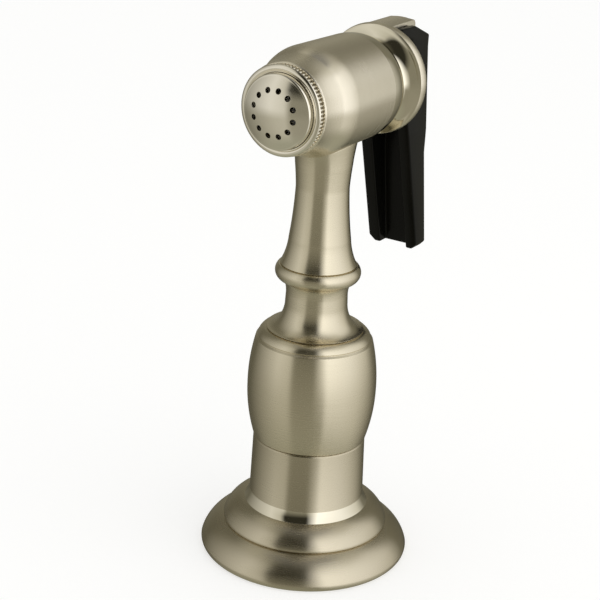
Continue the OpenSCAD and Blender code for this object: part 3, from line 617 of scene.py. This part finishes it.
class SPRAYER_OT_bell(bpy.types.Operator):
    """Turns the bell with its cove, waist and bead"""

    bl_idname = "sprayer.bell"
    bl_label = "Bell"

    def execute(self, context):
        s = context.scene.sprayer_handle
        foot, top = BARREL_TOP.z, BELL_TOP.z
        cove_top = foot + s.cove_h
        flare_z = cove_top + s.waist_h
        spigot_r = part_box("bell_seal")[1].x
        socket_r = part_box("neck_seal")[1].x + PLAY
        socket_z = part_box("neck_seal")[0].z
        passage = 4 * MM
        bell = lathe("handle_bell", [
            (passage, BELL_LOW.z), (spigot_r, BELL_LOW.z), (spigot_r, foot), (s.bell_r - s.groove_d, foot),
            (s.bell_r, foot + BREAK),
            *ellipse((s.bell_r, cove_top), (s.waist_r + 0.1 * MM - s.bell_r, foot + BREAK - cove_top), 80, 0),
            *ellipse((s.bead_low_r, flare_z), (s.waist_r - s.bead_low_r, s.flare_h), 0, 84, 18),
            *arc((s.bead_low_r, flare_z + s.flare_h), (s.bead_root_r, top), s.bead_out, 24)[1:],
            (socket_r, top), (socket_r, socket_z), (passage, socket_z),
        ])
        mount(bell, "wand", "satin_nickel", "bell", "satin_z")
        return {"FINISHED"}


def head_radius(y):
    """Radius of the head over the neck, where its flank runs straight."""
    s = bpy.context.scene.sprayer_head
    straight_end = HEAD_TOP.y - s.rear_gap - s.rear_len
    share = (y + s.wide_y) / (straight_end + s.wide_y)
    return s.wide_r + (s.rear_r - s.wide_r) * share


class SPRAYER_OT_neck(bpy.types.Operator):
    """Turns the slim neck and scribes its top to the round head"""

    bl_idname = "sprayer.neck"
    bl_label = "Neck"

    def execute(self, context):
        s = context.scene.sprayer_handle
        foot, top = BELL_TOP.z, HEAD_LOW.z + 2 * MM
        # How much of the taper is left at the waist, and how much of the flare is done where it steepens.
        taper_left, flare_done = 0.38, 0.4
        waist = (s.neck_r + (s.neck_foot_r - s.neck_r) * taper_left, foot + 7.3 * MM)
        thin = (s.neck_r, foot + s.neck_thin_h)
        flare_z = HEAD_LOW.z - 3.5 * MM
        flare = (s.neck_r + (s.neck_top_r - s.neck_r) * flare_done, flare_z)
        neck = lathe("handle_neck", [
            (s.passage_r, foot), (s.neck_foot_r - BREAK, foot),
            *arc((s.neck_foot_r, foot + BREAK), waist, -0.35 * MM, 20),
            *arc(waist, thin, -0.2 * MM, 24)[1:],
            *arc(thin, flare, -0.06 * MM, 12)[1:],
            *arc(flare, (s.neck_top_r, top), -0.1 * MM, 10)[1:],
            (s.passage_r, top),
        ], edge=0.12 * MM)
        overlap = 0.02 * MM
        for vertex in neck.data.vertices:
            point = vertex.co
            if point.z > flare_z:
                seat = HEAD_Z - sqrt(head_radius(point.y) ** 2 - point.x**2) + overlap
                point.z = flare_z + (point.z - flare_z) * (seat - flare_z) / (top - flare_z)
        mount(neck, "wand", "satin_nickel", "neck", "satin_z")
        return {"FINISHED"}


class SPRAYER_OT_head(bpy.types.Operator):
    """Turns the body of the spray head"""

    bl_idname = "sprayer.head"
    bl_label = "Head"

    def execute(self, context):
        s = context.scene.sprayer_head
        front, rear = HEAD_LOW.y, HEAD_TOP.y
        nose = (s.front_r + 1.1 * MM, front + 6.6 * MM)
        rounding = (s.rear_r - s.rear_drop, rear - s.rear_gap - s.rear_len)
        thread_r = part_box("face_washer")[1].x + PLAY
        thread_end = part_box("face_washer")[1].y
        outlet_r = 7 * MM
        seat_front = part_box("valve_seat")[1].y - 3 * MM
        chamber_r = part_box("valve_seat")[1].x
        rear_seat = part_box("collar_seal")[0].y
        rear_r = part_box("collar_seal")[1].x + PLAY
        head = lathe("head_body_shell", [
            (outlet_r, seat_front), (outlet_r, thread_end), (thread_r, thread_end), (thread_r, front),
            (s.front_r - BREAK, front),
            *arc((s.front_r, front + BREAK), nose, -0.25 * MM),
            *arc(nose, (s.wide_r, -s.wide_y), 0.35 * MM, 18)[1:],
            *other_finish(ellipse(rounding, (s.rear_drop, s.rear_len), 0, 90)),
            (s.groove_r, rear, 1),
            (rear_r, rear), (rear_r, rear_seat), (chamber_r, rear_seat), (chamber_r, seat_front),
        ], "Y", steps=256)
        mount(head, "wand", "satin_nickel", "head_body", "satin_y", "bright_y")
        return {"FINISHED"}


class SPRAYER_OT_rear_collar(bpy.types.Operator):
    """Turns the rear collar with its cove and ring, and adds the hinge lug"""

    bl_idname = "sprayer.rear_collar"
    bl_label = "Rear collar"

    def execute(self, context):
        s = context.scene.sprayer_head
        collar = self.turn_collar(s)
        carve(collar, self.cut_lug(s), "UNION")
        past_lug = 8 * MM
        carve(collar, rod_on_hinge("pin_hole", PIN_R, past_lug))
        shade(collar, 30)
        mount(collar, "wand", "satin_nickel", "rear_collar")
        return {"FINISHED"}

    def turn_collar(self, s):
        """The screwed plug with the polished cove and the ring."""
        rear, ring_front = HEAD_TOP.y, RING_REAR - s.ring_t
        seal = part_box("collar_seal")[1]
        packing_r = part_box("stem_seal")[1].x
        packing_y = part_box("stem_seal")[0].y
        pocket_r, pocket_y = 6.6 * MM, packing_y - 6 * MM
        cove_start = (s.groove_r, rear + 3.4 * MM)
        rim_r = s.ring_r - 0.25 * MM
        collar = lathe("rear_collar_and_lug", [
            (STEM_BORE, pocket_y), (pocket_r, pocket_y), (pocket_r, seal.y), (seal.x, seal.y),
            *other_finish([(seal.x, rear), (s.groove_r, rear), cove_start]),
            *other_finish(arc(cove_start, (s.ring_r - 0.9 * MM, ring_front + 0.2 * MM), -0.3 * MM, 20)[1:]),
            *arc((rim_r, ring_front + 0.4 * MM), (rim_r, RING_REAR - BREAK), 0.25 * MM),
            (s.ring_r - 0.6 * MM, RING_REAR), (packing_r, RING_REAR), (packing_r, packing_y),
            (STEM_BORE, packing_y),
        ], "Y")
        finish_with(collar, "satin_y", "bright_y")
        return collar

    def cut_lug(self, s):
        """The lug that carries the pin, as a slab cut to the ring's radius."""
        front, back = RING_REAR - s.ring_t / 2, RING_REAR + s.lug_len
        foot = HEAD_Z + NUT_CORNER + 0.3 * MM
        crown = HEAD_Z + s.ring_r
        top_edge = back - 1.3 * MM
        lug = slab("lug", [
            (front, foot),
            *arc((PIN_Y, foot), (back, PIN_Z + 0.8 * MM), 1.9 * MM, 16),
            *arc((back, crown - 2 * MM), (top_edge, crown - 0.35 * MM), 0.35 * MM, 8),
            (top_edge, crown + PAST), (front, crown + PAST),
        ], -s.lug_half, s.lug_half, "X")
        start, end = RING_REAR - s.ring_t, back + PAST
        limit_r = s.ring_r - 0.15 * MM
        limit = lathe("lug_limit", [(0, start), (limit_r, start), (limit_r, end), (0, end)], "Y", steps=256)
        carve(lug, limit, "INTERSECT")
        round_edges(lug, 0.35 * MM)
        return lug


def node_group(name, inputs):
    """A geometry tree that takes a mesh and the named inputs, with its start's outputs and its end node."""
    tree = bpy.data.node_groups.new(name, "GeometryNodeTree")
    for label, kind in {"Geometry": "Geometry", **inputs, "Material": "Material"}.items():
        tree.interface.new_socket(label, in_out="INPUT", socket_type="NodeSocket" + kind)
    tree.interface.new_socket("Geometry", in_out="OUTPUT", socket_type="NodeSocketGeometry")
    return tree, tree.nodes.new("NodeGroupInput").outputs, tree.nodes.new("NodeGroupOutput")


def grow(piece, tree, values):
    """Runs a geometry tree on a piece with its named inputs set, and keeps the plain mesh."""
    tool = piece.modifiers.new("grow", "NODES")
    tool.node_group = tree
    sockets = {item.name: item.identifier for item in tree.interface.items_tree if item.in_out == "INPUT"}
    for label, value in values.items():
        tool[sockets[label]] = value
    return settle(piece)


def ring_of(tree, given, count, radius, piece, **placing):
    """Copies of a mesh on a circle about +Z, made real."""
    circle = add(tree, "GeometryNodeMeshCircle", {"Vertices": given[count], "Radius": given[radius]})
    copies = add(tree, "GeometryNodeInstanceOnPoints", {"Points": circle, "Instance": piece, **placing})
    return add(tree, "GeometryNodeRealizeInstances", {0: copies})


# Half width of a tooth, where pi is half a pitch, and its half height by the length of the band.
TOOTH_WIDE, TOOTH_TALL = 2.5, 0.6


def knurl_tree():
    """Sets rounded teeth side by side on a circle about +Z."""
    inputs = {"Radius": "Float", "Teeth": "Int", "Depth": "Float", "Length": "Float"}
    tree, given, end = node_group("knurl", inputs)
    ball = add(tree, "GeometryNodeMeshUVSphere", {"Segments": 10, "Rings": 7, "Radius": 1.0})
    share = maths(tree, "DIVIDE", given["Radius"], given["Teeth"])
    wide = maths(tree, "MULTIPLY", share, TOOTH_WIDE)
    tall = maths(tree, "MULTIPLY", given["Length"], TOOTH_TALL)
    shape = add(tree, "ShaderNodeCombineXYZ", {"X": given["Depth"], "Y": wide, "Z": tall})
    spoke = add(tree, "GeometryNodeInputPosition")
    turn = add(tree, "FunctionNodeAlignEulerToVector", {"Vector": spoke}, axis="X")
    teeth = ring_of(tree, given, "Teeth", "Radius", ball, Rotation=turn, Scale=shape)
    smooth = add(tree, "GeometryNodeSetShadeSmooth", {"Geometry": teeth})
    painted = add(tree, "GeometryNodeSetMaterial", {"Geometry": smooth, "Material": given["Material"]})
    plug(tree, end, {0: painted})
    return tree


def perforation_tree():
    """Cuts a ring of round holes into the mesh, along +Z."""
    inputs = {"Ring Radius": "Float", "Holes": "Int", "Hole Radius": "Float", "Length": "Float"}
    tree, given, end = node_group("perforation", inputs)
    size = {"Vertices": 32, "Radius": given["Hole Radius"], "Depth": given["Length"]}
    drill = add(tree, "GeometryNodeMeshCylinder", size)
    drills = ring_of(tree, given, "Holes", "Ring Radius", drill)
    meshes = {"Mesh 1": given["Geometry"], "Mesh 2": drills}
    cut = add(tree, "GeometryNodeMeshBoolean", meshes, operation="DIFFERENCE", solver="EXACT")
    painted = add(tree, "GeometryNodeSetMaterial", {"Geometry": cut, "Material": given["Material"]})
    plug(tree, end, {0: painted})
    return tree


# Turns +Z of a mesh to the rear of the head, and sets it on the head's axis.
ON_HEAD = Matrix.Translation((0, 0, HEAD_Z)) @ Matrix.Rotation(radians(-90), 4, "X")


class SPRAYER_OT_bezel(bpy.types.Operator):
    """Turns the screwed bezel and sets the knurl teeth around it"""

    bl_idname = "sprayer.bezel"
    bl_label = "Knurled bezel"

    def execute(self, context):
        s = context.scene.sprayer_head
        rear = HEAD_LOW.y
        band_rear = rear - 0.1 * MM
        rim_rear = band_rear - s.knurl_len
        face_y = FACE_LOW.y + s.dome_h
        recess = face_y + 1.5 * MM
        lip_y = face_y - 0.2 * MM
        thread_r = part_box("face_washer")[1].x
        bore_r = 8.8 * MM
        neck_r = s.front_r - 1 * MM
        knurl_root = s.bezel_r - s.knurl_d
        bezel = lathe("bezel_ring", [
            (bore_r, BEZEL_TOP.y), (bore_r, recess), (s.face_r + PLAY, recess), (s.face_r + PLAY, lip_y),
            *arc((s.face_r + 0.35 * MM, lip_y), (s.bezel_r, rim_rear - 0.15 * MM), 0.3 * MM, 20),
            (s.bezel_r, rim_rear),
            # The bottoms of the knurl take the second material, painted darker as shade.
            *other_finish([(knurl_root, rim_rear + 0.05 * MM), (knurl_root, band_rear)]),
            (neck_r, band_rear), (neck_r, rear), (thread_r, rear), (thread_r, BEZEL_TOP.y),
        ], "Y", 0.1 * MM, 240)
        mount(bezel, "wand", "satin_nickel", "knurled_bezel", "soft_y", "dull_y")
        knurl = new_object("bezel_knurl", lambda bm: bm.verts.new((0, 0, 0)))
        grow(knurl, knurl_tree(), {
            "Radius": knurl_root, "Teeth": s.knurl_teeth, "Depth": s.knurl_d, "Length": s.knurl_len,
            "Material": material_for("soft_y"),
        })
        knurl.data.transform(ON_HEAD @ Matrix.Translation((0, 0, band_rear - s.knurl_len / 2)))
        mount(knurl, "wand", "satin_nickel", "knurled_bezel")
        return {"FINISHED"}


class SPRAYER_OT_spray_face(bpy.types.Operator):
    """Turns the domed spray face and drills its ring of holes"""

    bl_idname = "sprayer.spray_face"
    bl_label = "Spray face"

    def execute(self, context):
        s = context.scene.sprayer_head
        inner = s.face_r - s.face_wall
        steps, through = 40, 80 * MM
        shoulder = asin((s.face_r - s.dome_edge) / s.cap_r)
        tilts = [shoulder * i / steps for i in range(steps + 1)]
        cap = [(s.cap_r * sin(t), FACE_LOW.y + s.cap_r * (1 - cos(t))) for t in tilts]
        face = lathe("spray_face_dome", [
            *cap,
            *arc(cap[-1], (s.face_r, cap[-1][1] + s.dome_edge), 0.12 * MM, 6)[1:],
            (s.face_r, FACE_TOP.y), (inner, FACE_TOP.y),
            *ellipse((0, FACE_LOW.y + s.dome_h), (inner, s.face_wall - s.dome_h), 0, 90),
        ], "Y", 0.1 * MM, 144)
        # The holes lie half a pitch off the mesh's spokes while they are drilled, which keeps the cuts clean.
        half_pitch = pi / s.face_holes
        face.data.transform(Matrix.Rotation(half_pitch, 4, "Z") @ ON_HEAD.inverted())
        grow(face, perforation_tree(), {
            "Ring Radius": s.hole_ring_r, "Holes": s.face_holes, "Hole Radius": s.hole_r, "Length": through,
            "Material": material_for("soft_y"),
        })
        face.data.transform(ON_HEAD @ Matrix.Rotation(half_pitch - s.face_turn, 4, "Z"))
        shade(face, 35)
        mount(face, "wand", "satin_nickel", "spray_face")
        return {"FINISHED"}


class SPRAYER_OT_lever(bpy.types.Operator):
    """Moulds the black channel-shaped squeeze lever"""

    bl_idname = "sprayer.lever"
    bl_label = "Squeeze lever"

    def execute(self, context):
        s = context.scene.sprayer_lever
        top, tip, back_tip = LEVER_TOP.z, LEVER_LOW.z, LEVER_TOP.y
        back_ears, back_knee = PIN_Y + s.back_top, PIN_Y + s.back_knee
        knee_z, ears_z = PIN_Z - s.knee_down, PIN_Z + 1.4 * MM
        # The front runs from the ears down to a point that clears the ring when the lever is squeezed.
        front, clear = RING_REAR + 0.9 * MM, 0.7 * MM
        mid_z = PIN_Z - 24.2 * MM
        mid_y = RING_REAR + clear + (PIN_Z - mid_z) * sin(SWING)
        ahead = RING_REAR - 5 * MM
        half_slab = 1.5 * s.paddle_half

        def widths(ear, paddle, chamfer):
            half = [
                (ear, top + PAST), (ear, PIN_Z - 1.6 * MM), (paddle, PIN_Z - 24.6 * MM),
                (paddle, tip + chamfer), (paddle - chamfer, tip - (0 if chamfer else PAST)),
            ]
            return half + [(-x, z) for x, z in reversed(half)]

        lever = slab("squeeze_lever", [
            (front, top), (PIN_Y + 3 * MM, top), (back_ears, ears_z), (back_knee, knee_z), (back_tip, tip),
            (back_tip - s.tip_thick, tip), (mid_y, mid_z), (front, PIN_Z - 2.1 * MM),
        ], -half_slab, half_slab, "X")
        outside = widths(s.ear_half, s.paddle_half, s.chamfer)
        carve(lever, slab("widths", outside, RING_REAR - PAST, back_tip + PAST, "Y"), "INTERSECT")
        inner_ears = back_ears - s.back_wall
        hollow = slab("channel", [
            (ahead, top + PAST), (inner_ears, top + PAST), (inner_ears, ears_z),
            (back_knee - s.back_wall, knee_z),
            (back_tip - s.back_wall, tip), (back_tip - s.back_wall, tip - PAST), (ahead, tip - PAST),
        ], -half_slab, half_slab, "X")
        inside = widths(context.scene.sprayer_head.lug_half + s.ear_gap, s.paddle_half - s.side_wall, 0)
        carve(hollow, slab("hollow_widths", inside, ahead - PAST, back_tip + 2 * PAST, "Y"), "INTERSECT")
        carve(lever, hollow)
        rib_front, rib_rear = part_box("valve_stem")[1].y + 0.15 * MM, inner_ears + 0.6 * MM
        low, high = HEAD_Z - s.rib_tall, HEAD_Z + s.rib_tall
        rib = [(rib_front, low), (rib_rear, low), (rib_rear, high), (rib_front, high)]
        carve(lever, slab("rib", rib, -s.rib_half, s.rib_half, "X"), "UNION")
        carve(lever, rod_on_hinge("lever_hole", PIN_R + 0.05 * MM, 2 * half_slab, steps=48))
        round_edges(lever, s.edge_r, 4)
        shade(lever, 30)
        mount(lever, "trigger", "black_plastic", "trigger_lever", "black")
        return {"FINISHED"}


class SPRAYER_OT_hinge(bpy.types.Operator):
    """Turns the hinge pin and cuts the gland nut with its chamfered hexagon"""

    bl_idname = "sprayer.hinge"
    bl_label = "Hinge pin and gland nut"

    def execute(self, context):
        pin = rod_on_hinge("lever_pin", PIN_R, PIN_TOP.x, edge=0.3 * MM)
        mount(pin, "wand", "stainless", "hinge_pin", "steel")
        flats = NUT_CORNER * cos(radians(30))
        crown_r = 0.97 * flats
        shank_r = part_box("stem_seal")[1].x - 0.05 * MM
        nut = lathe("packing_gland_nut", [
            (STEM_BORE, NUT_LOW.y), (shank_r, NUT_LOW.y), (shank_r, RING_REAR), (NUT_CORNER, RING_REAR),
            (NUT_CORNER, NUT_TOP.y - 0.4 * MM), (crown_r, NUT_TOP.y), (STEM_BORE, NUT_TOP.y),
        ], "Y", 0.05 * MM, 96)
        turns = [radians(60 * i) for i in range(6)]
        hexagon = [(NUT_CORNER * sin(t), HEAD_Z + NUT_CORNER * cos(t)) for t in turns]
        carve(nut, slab("hexagon", hexagon, NUT_LOW.y - PAST, NUT_TOP.y + PAST, "Y"), "INTERSECT")
        shade(nut, 25)
        mount(nut, "wand", "brass", "gland_nut", "brass_y")
        return {"FINISHED"}


class SPRAYER_OT_sleeve(bpy.types.Operator):
    """Turns the plastic sleeve that drops into the holder"""

    bl_idname = "sprayer.sleeve"
    bl_label = "Tail sleeve"

    def execute(self, context):
        low, top, outer = SLEEVE_LOW.z, SLEEVE_TOP.z, SLEEVE_TOP.x
        web_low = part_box("hose_connector")[0].z + 13 * MM
        web_top = web_low + 10 * MM
        bore, spigot, upper = 10.2 * MM, 5.5 * MM, 7.6 * MM
        groove_r = outer - 0.35 * MM
        outline = [(bore, low), (outer - 0.9 * MM, low), (outer, low + 1.6 * MM)]
        first, pitch, width, slope = 5 * MM, 4 * MM, 1.3 * MM, 0.3 * MM
        for groove in range(3):
            z = low + first + groove * pitch
            outline += [(outer, z), (groove_r, z + slope), (groove_r, z + width - slope), (outer, z + width)]
        outline += [(outer, top), (upper, top), (upper, web_top), (spigot, web_top), (spigot, web_low)]
        sleeve = lathe("tail_sleeve_moulding", [*outline, (bore, web_low)])
        mount(sleeve, "wand", "white_plastic", "tail_sleeve", "white")
        return {"FINISHED"}


class SPRAYER_OT_inner_parts(bpy.types.Operator):
    """Gives the small construction parts inside the sprayer their materials"""

    bl_idname = "sprayer.inner_parts"
    bl_label = "Seals, valve and connector"

    def execute(self, context):
        finishes = {
            "white": ("guide_bush", "diffuser"),
            "rubber": (
                "base_gasket", "swivel_seal", "hose_washer", "sleeve_seal", "bell_seal", "neck_seal",
                "face_washer", "collar_seal", "stem_seal", "seat_washer",
            ),
            "brass_z": ("hose_connector",),
            "brass_y": ("valve_seat", "packing_washer", "poppet", "stem_nut"),
            "steel": ("snap_ring", "return_spring", "valve_stem"),
        }
        for key, nodes in finishes.items():
            for name in nodes:
                finish_with(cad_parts[name], key)
        return {"FINISHED"}


# ---------------------------------------------------------------- stage


def direction(turn, lift):
    """Unit vector from the object, turned from -Y towards +X, and lifted above the floor."""
    return Vector((sin(turn) * cos(lift), -cos(turn) * cos(lift), sin(lift)))


def set_floor(tint, lift):
    """A plain pale floor that keeps the shadow, lifted towards white where the camera sees it."""
    half = 3
    floor = new_object("floor", lambda bm: bmesh.ops.create_grid(bm, x_segments=1, y_segments=1, size=half))
    material, tree, shader = new_material("pale_floor")
    seen = add(tree, "ShaderNodeLightPath").outputs["Is Camera Ray"]
    plug(tree, shader, {
        "Base Color": colour(tint),
        "Roughness": 0.9,
        "Specular IOR Level": 0.1,
        "Emission Color": (1, 1, 1, 1),
        "Emission Strength": maths(tree, "MULTIPLY", seen, lift),
    })
    floor.data.materials.append(material)
    floor.visible_glossy = False


# Brightness of the studio that the metal reflects, by turn from the camera in degrees: soft panels with gaps
# between them. Each storey takes over from the one below between two heights of the direction, from -1 to 1.
# The ground and the ceiling are plain.
GROUND, CEILING = (0.36, 0.36, 0.288, 1), (0.22, 0.22, 0.22, 1)
STOREYS = [
    (-0.8, -0.6, [
        (-180, 0.1), (-140, 0.12), (-60, 0.48), (-42, 0.52), (-33, 0.32), (20, 0.3), (29, 0.74), (60, 0.74),
        (90, 0.62), (130, 0.25), (150, 0.1), (180, 0.1),
    ]),
    (-0.33, -0.14, [
        (-180, 0.25), (-135, 0.14), (-66, 0.8), (-42, 0.68), (-34, 0.26), (2, 0.26), (13, 0.75), (26, 1.5),
        (72, 1.15), (112, 0.72), (134, 0.2), (160, 0.14), (180, 0.3),
    ]),
    (0.14, 0.36, [
        (-180, 0.3), (-150, 0.15), (-130, 0.18), (-66, 0.8), (-47, 0.6), (-38, 0.03), (4, 0.03), (24, 1.45),
        (72, 1.15), (114, 0.85), (136, 0.22), (158, 0.18), (180, 0.3),
    ]),
    (0.72, 0.84, [
        (-180, 0.2), (-155, 0.45), (-95, 0.5), (-60, 0.35), (-40, 0.07), (6, 0.07), (32, 0.85), (60, 0.9),
        (80, 0.7), (140, 0.5), (180, 0.2),
    ]),
    (0.9, 0.97, None),
]


def wall(tree, place, stops):
    """One storey's brightness at a place round the object, from 0 to 1; its darker parts are warmer."""
    ramp = add(tree, "ShaderNodeValToRGB", {0: place})
    while len(ramp.color_ramp.elements) < len(stops):
        ramp.color_ramp.elements.new(1)
    for element, (degrees, grey) in zip(ramp.color_ramp.elements, stops):
        element.position = degrees / 360 + 0.5
        pale = min(grey, 1)
        element.color = ((1.06 - 0.06 * pale) * grey, grey, (0.72 + 0.28 * pale) * grey, 1)
    return ramp


def set_world(scene, s):
    """Even light for what is matt, and the studio's panels for what reflects; the camera sees white."""
    world = bpy.data.worlds.new("studio")
    world.use_nodes = True
    tree = world.node_tree
    tree.nodes.clear()
    ray = add(tree, "ShaderNodeTexCoord").outputs["Generated"]
    way = add(tree, "ShaderNodeSeparateXYZ", {0: ray}).outputs
    turn = maths(tree, "ARCTAN2", way["X"], maths(tree, "MULTIPLY", way["Y"], -1.0))
    turns = maths(tree, "MULTIPLY_ADD", turn, 0.5 / pi, 0.5 - s.turn / (2 * pi))
    place = maths(tree, "FRACT", turns)
    room = GROUND
    for start, end, stops in STOREYS:
        share = add(tree, "ShaderNodeMapRange", {"Value": way["Z"], "From Min": start, "From Max": end})
        storey = wall(tree, place, stops) if stops else CEILING
        room = add(tree, "ShaderNodeMix", {"Factor": share, 6: room, 7: storey}, data_type="RGBA").outputs[2]
    path = add(tree, "ShaderNodeLightPath").outputs
    seen = maths(tree, "MAXIMUM", path["Is Camera Ray"], path["Is Transmission Ray"])
    even = add(tree, "ShaderNodeBackground", {"Color": (1, 1, 1, 1), "Strength": s.level})
    white = add(tree, "ShaderNodeBackground", {"Color": (1, 1, 1, 1), "Strength": 1.0})
    studio = add(tree, "ShaderNodeBackground", {"Color": room, "Strength": 1.0})
    matt = add(tree, "ShaderNodeMixShader", {0: path["Is Glossy Ray"], 1: even, 2: studio})
    add(tree, "ShaderNodeOutputWorld", {0: add(tree, "ShaderNodeMixShader", {0: seen, 1: matt, 2: white})})
    # Light that is sampled from the world ahead of a bounce wouldn't know which kind of ray asks for it.
    world.cycles.sampling_method = "NONE"
    scene.world = world


def set_lamps(s):
    """Soft boxes on both sides of the camera, which light what is matt and throw the shadow."""
    target = Vector((0, 0, 0.07))
    distance, height = 0.75, radians(18)
    boxes = [
        # name, turn from the camera, width, height, power
        ("right_soft_box", 52, 1.0, 0.75, 1.3),
        ("left_soft_box", -70, 0.5, 0.6, 0.15),
    ]
    for name, turn, wide, tall, power in boxes:
        data = bpy.data.lights.new(name, "AREA")
        data.shape, data.size, data.size_y, data.energy = "RECTANGLE", wide, tall, power
        data.color = (1, 0.985, 0.95)
        lamp = bpy.data.objects.new(name, data)
        way = direction(s.turn + radians(turn), height)
        aimed = way.to_track_quat("Z", "Y").to_matrix().to_4x4()
        lamp.matrix_world = Matrix.Translation(target + way * distance) @ aimed
        lamp.visible_glossy = False
        bpy.context.scene.collection.objects.link(lamp)


class SPRAYER_OT_stage(bpy.types.Operator):
    """Sets the floor, the lamps and the camera"""

    bl_idname = "sprayer.stage"
    bl_label = "Stage"

    def execute(self, context):
        scene = context.scene
        s = scene.sprayer_stage
        scene.view_settings.view_transform = "Standard"
        set_floor(scene.sprayer_colours.floor, s.lift)
        set_world(scene, s)
        set_lamps(s)
        back = direction(s.turn, s.tilt)
        level = Vector((cos(s.turn), sin(s.turn), 0))
        upright = back.cross(level)
        right = level * cos(s.roll) + upright * sin(s.roll)
        up = upright * cos(s.roll) - level * sin(s.roll)
        data = bpy.data.cameras.new("camera")
        data.lens, data.sensor_width, data.clip_start = s.lens, 36, 0.01
        camera = bpy.data.objects.new("camera", data)
        camera.matrix_world = Matrix.Translation(s.eye) @ Matrix((right, up, back)).transposed().to_4x4()
        scene.collection.objects.link(camera)
        scene.camera = camera
        return {"FINISHED"}


class SPRAYER_PT_panel(bpy.types.Panel):
    """Lists the pieces and their sizes"""

    bl_label = "Kitchen side sprayer"
    bl_idname = "SPRAYER_PT_panel"
    bl_space_type = "VIEW_3D"
    bl_region_type = "UI"
    bl_category = "Sprayer"

    def draw(self, context):
        for operator in OPERATORS:
            self.layout.operator(operator.bl_idname)
        for name, group in GROUPS.items():
            box = self.layout.box()
            box.label(text=group.__doc__)
            for prop in group.__annotations__:
                box.prop(getattr(context.scene, name), prop)


GROUPS = {
    "sprayer_holder": HolderSizes,
    "sprayer_handle": HandleSizes,
    "sprayer_head": HeadSizes,
    "sprayer_lever": LeverSizes,
    "sprayer_colours": FinishColours,
    "sprayer_stage": StageSettings,
}
OPERATORS = (
    SPRAYER_OT_stage,
    SPRAYER_OT_holder,
    SPRAYER_OT_barrel,
    SPRAYER_OT_bell,
    SPRAYER_OT_neck,
    SPRAYER_OT_head,
    SPRAYER_OT_rear_collar,
    SPRAYER_OT_bezel,
    SPRAYER_OT_spray_face,
    SPRAYER_OT_lever,
    SPRAYER_OT_hinge,
    SPRAYER_OT_sleeve,
    SPRAYER_OT_inner_parts,
)
CLASSES = (*GROUPS.values(), *OPERATORS, SPRAYER_PT_panel)


def register():
    for cls in CLASSES:
        bpy.utils.register_class(cls)
    for name, group in GROUPS.items():
        setattr(bpy.types.Scene, name, PointerProperty(type=group))


def unregister():
    for name in GROUPS:
        delattr(bpy.types.Scene, name)
    for cls in reversed(CLASSES):
        bpy.utils.unregister_class(cls)


def main():
    register()
    for operator in OPERATORS:
        family, name = operator.bl_idname.split(".")
        getattr(getattr(bpy.ops, family), name)()


if __name__ == "__main__":
    main()
